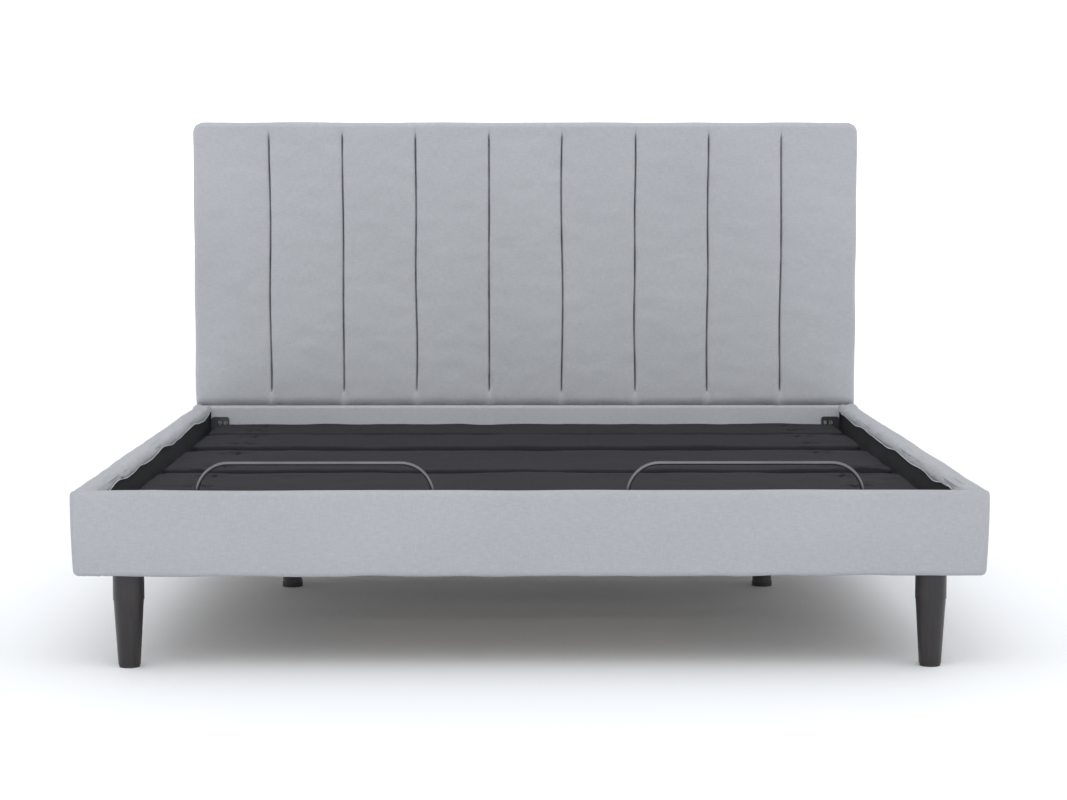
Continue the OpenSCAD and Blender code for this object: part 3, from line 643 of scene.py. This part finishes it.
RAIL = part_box("side_rail_padding_right")
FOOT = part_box("foot_rail_padding")
RAIL_LO, RAIL_HI, HALF_W, RAIL_T = RAIL[0].z, RAIL[1].z, RAIL[1].x, RAIL[1].x - RAIL[0].x
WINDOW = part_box("rail_linings")
SIDE_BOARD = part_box("side_rail_boards")
BOARD_W = (HALF_W - SIDE_BOARD[1].x, RAIL_T - 0.003)  # the board's two faces, inwards from outside
LIP = 0.378  # the height of the stapled edge
LIP_LOW = RAIL_LO + 0.022
TAPER = 0.0050  # how far the outer face leans in at the bottom
SHOULDER = 0.0195  # the radius of the inner shoulder
EDGE_IN = 0.014  # the radius of the outer top edge
FOLD = 0.013  # the radius of the outer bottom edge


def rail_ring(lip, lip_low, puff, lump, sag, hollow=True):
    """One section of a padded rail as (inwards from the outer face, up). lip and lip_low are the
    stapled edges, puff swells the inner shoulder and lump the top."""
    top, low = RAIL_HI + 0.0012 + lump, RAIL_LO + 0.0006 + sag
    ring = [(RAIL_T, lip), (RAIL_T + 0.0008, lip + 0.0022), (RAIL_T + 0.45 * puff, lip + 0.0055)]
    cx, cz = RAIL_T + puff - SHOULDER, top - 0.0026 - SHOULDER
    ring += [(cx + SHOULDER * math.cos(t), cz + SHOULDER * math.sin(t))
             for t in np.radians([5, 20, 36, 52, 68, 84])]
    ring += [(0.0335, top - 0.0022), (0.0285, top - 0.0019), (0.0240, top - 0.0011),
             (0.0190, top - 0.0002), (0.0150, top)]
    ring += arc((EDGE_IN, top - EDGE_IN), EDGE_IN, 92, 180, 6)
    z0, z1, n = top - EDGE_IN, low + FOLD, 17
    for k in range(1, n):
        t = k / n
        ring.append((TAPER * t * t - 0.0022 * math.sin(math.pi * t) ** 0.8, z0 + (z1 - z0) * t))
    ring += arc((TAPER + FOLD, low + FOLD), FOLD, 180, 268, 6)
    ring += [(w, low) for w in (0.0225, 0.0280, 0.0340, 0.0400, 0.0450)]
    ring += [(RAIL_T - 0.0012, low + 0.0012), (RAIL_T, low + 0.0050), (RAIL_T + 0.0005, low + 0.013),
             (RAIL_T, lip_low)]
    inner = RAIL_T - 0.0018  # the cloth's thickness at the stapled edges
    if hollow:
        near, far = BOARD_W[0] - 0.0005, BOARD_W[1] + 0.0006
        under, over = SIDE_BOARD[0].z - 0.0004, SIDE_BOARD[1].z + 0.0004
        ring += [(inner, lip_low), (far, under), (near, under), (near, over), (far, over), (inner, lip)]
    else:
        ring += [(RAIL_T - 0.0003, lip_low + (lip - lip_low) * k / 7) for k in range(1, 7)]
    return np.array(ring)


VISIBLE = 53  # how many points of a section lie on the fabric that shows
SHOULDER_POINTS = (3, 8)  # the first and last point of a section on its inner shoulder


def side_rail_top(w):
    """The height of a side rail's plain section, w inwards from its outer face."""
    top, cx = RAIL_HI + 0.0012, RAIL_T + 0.0020 - SHOULDER
    if w > cx:
        return top - 0.0026 - SHOULDER + math.sqrt(max(0.0, SHOULDER ** 2 - (w - cx) ** 2))
    if w < EDGE_IN:
        return top - EDGE_IN + math.sqrt(EDGE_IN ** 2 - (EDGE_IN - max(w, 0.0)) ** 2)
    return float(np.interp(w, (0.015, 0.019, 0.024, 0.0285, 0.0335, cx), top - np.array(
        [0, 0.0002, 0.0011, 0.0019, 0.0022, 0.0026])))


def rail_cloth(ring):
    """The distance along the cloth from the stapled edge to each point of a section."""
    return np.concatenate([[0], np.cumsum(np.hypot(*np.diff(ring, axis=0).T))])


def press_out(ring, run, shape, extra=0.0):
    """Moves a section's visible cloth outwards by shape, which fades at both stapled edges, plus extra."""
    shown = np.arange(len(ring)) < VISIBLE
    fade = np.clip(run / 0.01, 0, 1) * np.clip((run[VISIBLE - 1] - run) / 0.01, 0, 1) * shown
    tangent = np.roll(ring, -1, 0) - np.roll(ring, 1, 0)
    out = np.stack([-tangent[:, 1], tangent[:, 0]], -1)
    out /= np.maximum(np.linalg.norm(out, axis=1, keepdims=True), TINY)
    return ring + out * (shape * fade + extra * shown)[:, None]


def lip_line(seed, amount):
    """The uneven line of a stapled edge."""
    broad, mid, fine = ripple(seed, 0.34, 0.9), ripple(seed + 1, 0.12, 0.26), ripple(seed + 2, 0.03, 0.07)
    return lambda s: amount * (0.95 * broad(s) + 0.20 * mid(s) + 0.05 * fine(s))


def make_side_rail(name, node, side, seed):
    """One side rail's cover, swept from the foot to the headboard, with its hem."""
    y0, y1 = RAIL[0].y, RAIL[1].y
    stations = np.concatenate([[y0 + 0.0004, y0 + 0.0015, y0 + 0.0035],
                               np.linspace(y0 + 0.008, y1 - 0.001, 300)])
    lip, low_lip = lip_line(seed, 0.0042), lip_line(seed + 3, 0.002)
    puff, lump, sag = ripple(seed + 6, 0.22, 0.8), ripple(seed + 7, 0.4, 1.2), ripple(seed + 8, 0.1, 0.5)
    skin, lumps = swell(seed + 9, 0.16, 0.6), swell(seed + 11, 0.035, 0.10)
    folds = creases(seed + 10, 60, (y0, y1, 0.0, 0.30), (0.03, 0.08), (0.006, 0.012), 0.0009, (-0.6, 0.6))
    dents = creases(seed + 12, 34, (y0, y1, 0.008, 0.034), (0.03, 0.09), (0.0045, 0.0090), 0.0013,
                    (-0.35, 0.35))
    wander, strength = ripple(seed + 13, 0.15, 0.6), ripple(seed + 14, 0.12, 0.4)
    rings, cloth = [], []
    for y in stations:
        head = float(step((y - (y1 - 0.055)) / 0.045))  # 1 at the headboard
        join = float(step((y - y0) / 0.03))  # 0 at the foot rail
        ring = rail_ring(LIP + lip(y) * (1 - 0.7 * head) * join + 0.003 * head,
                         LIP_LOW + low_lip(y), 0.0020 + 0.0011 * puff(y) * join + 0.003 * head,
                         0.0005 * lump(y) * join + 0.0050 * head, 0.0005 * sag(y))
        run = rail_cloth(ring)
        inner = step((0.046 - run) / 0.014)  # 1 on the inner shoulder, fading out across the top
        ridge = 0.030 + 0.0022 * wander(y)
        shape = (0.0004 + 0.0006 * inner) * skin(y, run) + folds(y, run) * (0.45 + 0.5 * inner)
        shape = shape + inner * (0.0008 * lumps(y, run) + dents(y, run))
        shape = shape - 0.0009 * step(0.5 + 0.6 * strength(y)) * np.exp(-((run - ridge) / 0.0032) ** 2)
        # the cloth gathers in slanting ripples where it meets the headboard
        shape = shape * join + head * 0.0016 * np.sin(run * 210 + y * 160)
        ring = press_out(ring, run, shape)
        rings.append(np.stack([side * (HALF_W - ring[:, 0]), np.full(len(ring), y), ring[:, 1]], -1))
        cloth.append(np.stack([np.full(len(ring), y), run], -1))
    points, faces = swept(rings)
    pad = make_piece(name, points, faces, FABRIC, np.concatenate(cloth))
    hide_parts(node)
    edge = np.array([r[0] for r in rings])
    edge[:, 0] -= side * 0.0003
    make_hem(name.replace("cover", "hem"), edge[2:-2], (-side, 0, 0))


def make_hem(name, path, inward):
    """The folded selvedge along a stapled edge: a flat bead that stands a little off the rail. Its pale
    cloth is a painted highlight along the edge.
    """
    inward = np.array(inward, float)
    rings, cloth = [], []
    run = np.concatenate([[0], np.cumsum(np.linalg.norm(np.diff(path, axis=0), axis=1))])
    section = [(math.cos(t), math.sin(t)) for t in np.linspace(0, 2 * math.pi, 9)[:-1]]
    for s, p in zip(run, path):
        rings.append(np.array([p + inward * (0.0008 + 0.0008 * c) + np.array([0, 0, 0.0012 * d - 0.0002])
                               for c, d in section]))
        cloth += [(s, 0.0010 * k) for k in range(len(section))]
    points, faces = swept(rings)
    make_piece(name, points, faces, HIGHLIT_HEM, np.array(cloth))


def square_shoulder(ring, corner, side_top):
    """Squares up the foot rail's back shoulder over a side rail's end, so that one top runs into the
    other."""
    number = np.arange(len(ring))
    first, last = SHOULDER_POINTS
    rise = np.clip((number - first + 1) / (last - first + 1), 0, 1)
    square = np.stack([np.full(len(ring), RAIL_T), (LIP + 0.0055) * (1 - rise) + side_top * rise], -1)
    shoulder = (number >= first) & (number <= last)
    ring[shoulder] += corner * (square - ring)[shoulder]
    on_top = (number > last) & (ring[:, 1] > RAIL_HI - 0.02)
    level = corner * np.clip((ring[:, 0] - 0.018) / 0.030, 0, 1) * on_top
    ring[:, 1] += level * (side_top - ring[:, 1])


def turn_end(ring, x, off):
    """Where a section of the foot rail lies, as (across, inwards, up). off is how far it has turned."""
    # the front, top and bottom draw in, and the back joins the side rail
    inset = off * np.clip((RAIL_T - ring[:, 0]) / 0.02, 0, 1)
    from_mid = ring[:, 1] - (RAIL_LO + RAIL_HI) / 2
    up = ring[:, 1] - np.sign(from_mid) * inset * np.clip((np.abs(from_mid) - 0.055) / 0.035, 0, 1) * 0.75
    inwards = ring[:, 0] + off * np.clip((0.022 - ring[:, 0]) / 0.022, 0, 1)
    # towards its ends the rail narrows downwards, as the side rails' outer faces lean in
    near = float(step((abs(x) - 0.90) / 0.10))
    narrow = TAPER * near * np.clip((RAIL_HI - up) / (RAIL_HI - RAIL_LO), 0, 1) ** 2
    return math.copysign(1, x) * (abs(x) - narrow), inwards, up


def make_foot_rail():
    """The foot rail's cover, swept across the bed and turned round both front corners, with its hem."""
    y0, seed = FOOT[0].y, 300
    r_end, end_mid = 0.013, 0.031  # the corners' radius, and how far in the end faces' middle lies
    full = HALF_W - r_end
    board_end = HALF_W - BOARD_W[0]
    half = np.concatenate([np.linspace(0, board_end, 140), [board_end + 0.0003]])
    tail = np.linspace(board_end + 0.003, full, 5)[:-1]
    # (across, off, hollow): the section is hollow round the board and solid beyond its end
    stations = [(x, 0.0, x <= board_end) for x in [*half, *tail]]
    stations += [(full + r_end * math.sin(t), r_end * (1 - math.cos(t)), False)
                 for t in np.linspace(0, math.pi / 2, 7)]
    lip, low_lip = lip_line(seed, 0.0026), lip_line(seed + 3, 0.002)
    puff, lump, sag = ripple(seed + 6, 0.10, 0.5), ripple(seed + 7, 0.2, 0.9), ripple(seed + 8, 0.1, 0.5)
    skin = swell(seed + 9, 0.12, 0.5)
    folds = creases(seed + 10, 70, (-HALF_W, HALF_W, 0.03, 0.30), (0.02, 0.08), (0.004, 0.009),
                    0.0008, (-0.35, 0.35))
    # two rows of long creases along the front, just below its top edge
    press = creases(seed + 11, 18, (-0.94, 0.94, 0.0735, 0.0775), (0.10, 0.30), (0.0016, 0.0024),
                    0.0009, (-0.006, 0.006))
    lower = creases(seed + 14, 20, (-0.98, 0.98, 0.083, 0.096), (0.04, 0.16), (0.0018, 0.0030),
                    0.0010, (-0.03, 0.03))
    ragged = ripple(seed + 12, 0.006, 0.014)
    rings, cloth = [], []
    mirrored = [(-x, off, hollow) for x, off, hollow in stations[:0:-1]]
    for x, off, hollow in mirrored + stations:
        corner = float(step((abs(x) - (HALF_W - RAIL_T - 0.002)) / 0.020))  # 1 over a side rail's end
        ring = rail_ring(LIP + lip(x) * (1 - corner), LIP_LOW + low_lip(x),
                         0.0020 + 0.0009 * puff(x) * (1 - corner), 0.0003 * lump(x) * (1 - corner),
                         0.0004 * sag(x), hollow)
        run = rail_cloth(ring)
        top_edge = np.clip(np.abs(run - 0.060) / 0.05, 0.25, 1)
        shape = (0.0007 * skin(x, run) + folds(x, run)) * top_edge + press(x, run) + lower(x, run)
        shape = shape * (1 - corner * np.clip((ring[:, 0] - 0.015) / 0.03, 0, 1))
        # staples pull small tucks into the bottom edge near the left end
        under = np.exp(-((run - 0.272) / 0.012) ** 2)
        tucks = 0.0030 * under * (np.abs(ragged(x)) - 0.4) * step((-x - 0.93) / 0.03)
        ring = press_out(ring, run, shape, tucks)
        if corner > 0:
            square_shoulder(ring, corner, side_rail_top(HALF_W - abs(x)))
        across, w, z = turn_end(ring, x, off)
        rings.append(np.stack([across, y0 + w, z], -1))
        if off > 0:
            cloth.append(np.stack([math.copysign(1, x) * (full + w + off), z], -1))
        else:
            cloth.append(np.stack([np.full(len(ring), x), run], -1))
    # both end faces close in a few steps towards the middle of the section
    for sign, end in ((-1, 0), (1, -1)):
        last = rings[end]
        centre = np.array([last[:, 0].mean(), y0 + end_mid, (RAIL_LO + RAIL_HI) / 2])
        for keep in (0.8, 0.55, 0.3, 0.1):
            shrunk = centre + (last - centre) * np.array([1, keep, keep])
            at = 0 if sign < 0 else len(rings)
            rings.insert(at, shrunk)
            cloth.insert(at, np.stack([sign * (full + (shrunk[:, 1] - y0) + r_end), shrunk[:, 2]], -1))
    points, faces = swept(rings)
    pad = make_piece("foot_rail_cover", points, faces, FABRIC, np.concatenate(cloth))
    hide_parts("foot_rail_padding")
    edge = np.array([(x, y0 + RAIL_T, LIP + float(lip(x)))
                     for x in np.linspace(-HALF_W + RAIL_T + 0.004, HALF_W - RAIL_T - 0.004, 260)])
    make_hem("foot_rail_hem", edge, (0, 1, 0))


def make_linings():
    """Black nonwoven strips over the inside of the rail boards, tucked behind the padding's lips. The side
    strips end in a black flap onto the headboard, a painted shadow in the corner by the bracket.
    """
    lo, hi = WINDOW[0].z - 0.012, WINDOW[1].z + 0.020

    def strip(name, length, place, seed, shade_flap=0.0):
        """One strip. place turns the distances along it, inwards and up into a point."""
        field = swell(seed, 0.12, 0.5)
        fine = creases(seed + 1, 24, (0, length, 0, hi - lo), (0.05, 0.12), (0.004, 0.01), 0.0004,
                       (0.9, 2.2))
        along = np.linspace(0, length - shade_flap, 150)
        # the flap: the strip's end turned onto the headboard, a black sheet that paints shadow
        if shade_flap:
            along = np.concatenate([along, length - shade_flap + shade_flap * np.array([0.34, 0.67, 1.0])])
        s, t = np.meshgrid(along, np.linspace(0, hi - lo, 14), indexing="ij")
        off = np.clip(0.0003 + 0.00010 * field(s, t) + fine(s, t) * 0.4, 0.0001, 0.0011)
        points = place(s, BOARD_W[1] + off, lo + t).reshape(-1, 3)
        faces = grid_faces(np.arange(s.size).reshape(s.shape))
        lining = make_piece(name, points, faces, LINING, np.stack([s, t], -1).reshape(-1, 2))
        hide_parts("rail_linings")

    y0, shade_flap = RAIL[0].y + 0.002, 0.0072
    run = RAIL[1].y - 0.0026 - y0
    for name, side in (("rail_lining_right", 1), ("rail_lining_left", -1)):
        # the last few millimetres turn inwards, onto the headboard: a black flap that paints the shadow in
        # the corner by the bracket
        strip(name, run + shade_flap, lambda s, w, z: np.stack(
            [side * (HALF_W - w - np.clip(s - run, 0, shade_flap)), y0 + np.clip(s, 0, run), z], -1),
            70 + side, shade_flap)
    span = HALF_W - RAIL_T - 0.002
    strip("rail_lining_foot", 2 * span,
          lambda s, w, z: np.stack([s - span, FOOT[0].y + w, z], -1), 75)


# -------------------- deck panels

SCREW_X = (0.788, 0.812)  # the screws sit in pairs, at these distances from the middle
SCREW_IN = 0.075  # and this far in from a panel's front and back
DECK_CORNER_R = 0.012


def seat_pucker(u, v, lo, hi):
    """Slack cloth pushed up in a fold along the seat's front edge, near the right end."""
    front = np.clip(1 - (v - lo.y) / 0.045, 0, 1) ** 1.5
    arch = 0.0075 * np.exp(-((u - 0.862) / 0.042) ** 2) + 0.0028 * np.exp(-((u - 0.905) / 0.012) ** 2)
    return front * (arch - 0.0030 * np.exp(-((u - 0.884) / 0.006) ** 2))


def thigh_pucker(u, v, lo, hi):
    """The cloth pulled down along the thigh panel's back edge, near the right end."""
    rear = np.clip(1 - (hi.y - v) / 0.05, 0, 1) ** 1.5
    return -rear * 0.0050 * step((u - 0.78) / 0.06) * (1 + 0.3 * np.sin(u * 130))


def make_deck_cover(section, seed, body, tired=0.0, pucker=None):
    """One padded panel cover. tired deepens the folds at its ends, pucker is one more height."""
    lo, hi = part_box(f"{section}_cover")
    board_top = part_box(f"{section}_board")[1].z
    edge = 0.007  # the radius of the rolled edge
    ys = (lo.y + SCREW_IN, hi.y - SCREW_IN)
    screws = [(sx * x, y) for sx in (-1, 1) for x in SCREW_X for y in ys]
    swells, small = swell(seed, 0.14, 0.6), swell(seed + 1, 0.03, 0.09)
    folds = creases(seed + 2, 34, (lo.x, hi.x, lo.y, hi.y), (0.03, 0.12), (0.004, 0.010), 0.0009,
                    (-0.5, 0.5))
    corner_folds = creases(seed + 3, 12, (hi.x - 0.16, hi.x - 0.02, lo.y, hi.y), (0.04, 0.09),
                           (0.005, 0.010), 0.0016 + 0.003 * tired, (-0.7, 0.7))
    sag_line = ripple(seed + 4, 0.12, 0.5)

    def height(u, v):
        mid = np.clip(1 - np.abs(2 * (v - (lo.y + hi.y) / 2) / (hi.y - lo.y)) ** 3, 0, 1)
        h = 0.0016 * mid + 0.0007 * swells(u, v) + 0.00025 * small(u, v) + folds(u, v)
        h = h + corner_folds(u, v) + 0.6 * corner_folds(-u, v + 0.03)
        near_edge = np.clip(1 - np.minimum(v - lo.y, hi.y - v) / 0.03, 0, 1)
        h = h - near_edge ** 2 * (0.0007 + 0.0006 * sag_line(u))
        ends = np.clip(1 - (hi.x - np.abs(u)) / 0.05, 0, 1)
        h = h - 0.0035 * ends ** 2 * near_edge - 0.0012 * ends ** 2
        for k, (x, y) in enumerate(screws):
            r = np.hypot(u - x, v - y)
            turn = np.arctan2(v - y, u - x)
            spokes = 1 + 0.30 * np.sin(5 * turn + k)
            # the hole over the screw's head, the dip round it, and three pleats
            h = h - 0.0092 * (1 - step((r - 0.0046) / (0.0058 * spokes)))
            h = h - 0.0021 * np.exp(-(r / (0.019 * spokes)) ** 2)
            h = h + 0.0026 * np.exp(-((r - 0.017) / 0.009) ** 2) * np.cos(3 * turn + 1.7 * k)
        return h + pucker(u, v, lo, hi) if pucker else h

    rim = [(edge * math.sin(t), edge * (1 - math.cos(t))) for t in np.linspace(0, math.pi / 2, 6)[1:]]
    deep = hi.z - lo.z
    side = [(edge + 0.0006, deep * 0.55), (edge + 0.0002, deep - 0.003), (edge - 0.0010, deep - 0.0004),
            (edge - 0.010, deep + 0.0004), (edge - 0.030, deep + 0.0004), (edge - 0.030, deep - 0.0002),
            (edge - 0.0082, deep - 0.0002), (edge - 0.0082, hi.z - board_top - 0.0004)]
    tight = (0.0022, 0.0042, 0.0060, 0.0085, 0.0120, 0.0170)
    us = lines(lo.x + edge, hi.x - edge, 0.017, [sx * x for sx in (-1, 1) for x in SCREW_X], tight)
    vs = lines(lo.y + edge, hi.y - edge, 0.012, ys, tight)
    us = us[np.concatenate([[True], np.diff(us) > 0.0004])]  # without lines that all but coincide
    points, faces, cloth = wrapped_panel(
        us, vs, DECK_CORNER_R, rim + side, height,
        lambda a, b, h: np.stack([a, b, hi.z + h], -1), True,
        lambda s, out, down: 0.0008 * ripple(seed + 5, 0.08, 0.5)(s) * min(1.0, max(out, 0) / edge))
    pad = make_piece(f"{section}_deck_cover", points, faces, TICKING, cloth, body)
    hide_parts(f"{section}_cover")


# -------------------- headboard's back

STAPLE = (0.011, 0.0012, 0.0014)  # a staple's length, width and height
STAPLE_PITCH, STAPLE_IN = 0.055, 0.008  # between staples, and in from the cloth's edge


def make_dust_cover():
    """The thin cloth over the headboard's back, with its staples."""
    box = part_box("headboard_back_cover")
    inset, y = 0.006, BACK_Y - 0.0016
    w, h = box[1].x - box[0].x - 2 * inset, box[1].z - box[0].z - 2 * inset
    field = swell(90, 0.25, 0.9)
    folds = creases(91, 40, (0, w, 0, h), (0.08, 0.25), (0.006, 0.014), 0.0009, (0.0, 3.1))
    s, t = np.meshgrid(np.linspace(0, w, 130), np.linspace(0, h, 70), indexing="ij")
    rim = np.minimum(np.minimum(s, w - s), np.minimum(t, h - t))
    slack = step((rim - 0.02) / 0.06)
    into = slack * (0.0022 + 0.0008 * field(s, t)) + 1.6 * folds(s, t) * slack
    # the cloth lies on the frame's members and gives a little between them
    timber_in = np.full(s.shape, 0.0045)
    frame_node = NODES["headboard_frame"]
    to_node = frame_node.matrix_world.inverted()
    inward = (to_node.to_3x3() @ Vector((0, -1, 0))).normalized()
    for i, j in np.ndindex(s.shape):
        start = Vector((s[i, j] - w / 2, y + 0.010, box[0].z + inset + t[i, j]))
        hit, where, _, _ = frame_node.ray_cast(to_node @ start, inward, distance=0.02)
        if hit:
            timber_in[i, j] = max(0.0, y - (frame_node.matrix_world @ where).y - 0.0003)
    near = np.minimum.reduce([np.roll(timber_in, (a, b), (0, 1)) for a in (-1, 0, 1) for b in (-1, 0, 1)])
    into = np.clip(into, 0.0, near)
    points = np.stack([s - w / 2, y - into, box[0].z + inset + t], -1).reshape(-1, 3)
    sheet = make_piece("headboard_dust_cover", points, grid_faces(np.arange(s.size).reshape(s.shape)),
                       LINING, np.stack([s, t], -1).reshape(-1, 2))
    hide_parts("headboard_back_cover")
    make_staples(w, h, y + 0.0002, box[0].z + inset)


def make_staples(w, h, y, low):
    """A row of staples along each edge of the cloth, none of them quite straight."""
    rng = np.random.default_rng(92)
    points, faces = [], []
    quads = ((0, 1, 3, 2), (4, 6, 7, 5), (0, 4, 5, 1), (2, 3, 7, 6), (0, 2, 6, 4), (1, 5, 7, 3))
    signs = (-1, 1)
    for x0, z0, x1, z1 in ((-w / 2, 0, w / 2, 0), (-w / 2, h, w / 2, h), (-w / 2, 0, -w / 2, h),
                           (w / 2, 0, w / 2, h)):
        n = round(math.hypot(x1 - x0, z1 - z0) / STAPLE_PITCH)
        for k in range(1, n):
            x, z = x0 + (x1 - x0) * k / n, z0 + (z1 - z0) * k / n
            x += -math.copysign(STAPLE_IN, x) if x0 == x1 else rng.uniform(-0.004, 0.004)
            z += (STAPLE_IN if z0 == 0 else -STAPLE_IN) if z0 == z1 else rng.uniform(-0.004, 0.004)
            turn = rng.uniform(-0.25, 0.25) + (math.pi / 2 if x0 == x1 else 0)
            along = np.array([math.cos(turn), 0, math.sin(turn)]) * STAPLE[0] / 2
            over = np.array([-math.sin(turn), 0, math.cos(turn)]) * STAPLE[1] / 2
            out = np.array([0, STAPLE[2] / 2, 0])
            centre = np.array([x, y, low + z])
            faces += [tuple(len(points) + i for i in q) for q in quads]
            points += [centre + a * along + b * over + c * out for a in signs for b in signs for c in signs]
    make_piece("headboard_staples", points, faces, SLOTS["zinc_steel"])


make_headboard()
make_side_rail("side_rail_cover_right", "side_rail_padding_right", 1, 100)
make_side_rail("side_rail_cover_left", "side_rail_padding_left", -1, 200)
make_foot_rail()
make_linings()
make_deck_cover("pillow", 400, "pillow_section")
make_deck_cover("back", 420, "back_section", 0.1)
make_deck_cover("seat", 440, "bed_frame", 0.8, seat_pucker)
make_deck_cover("thigh", 460, "thigh_section", 0.5, thigh_pucker)
make_deck_cover("calf", 480, "calf_section", 0.1)
make_dust_cover()
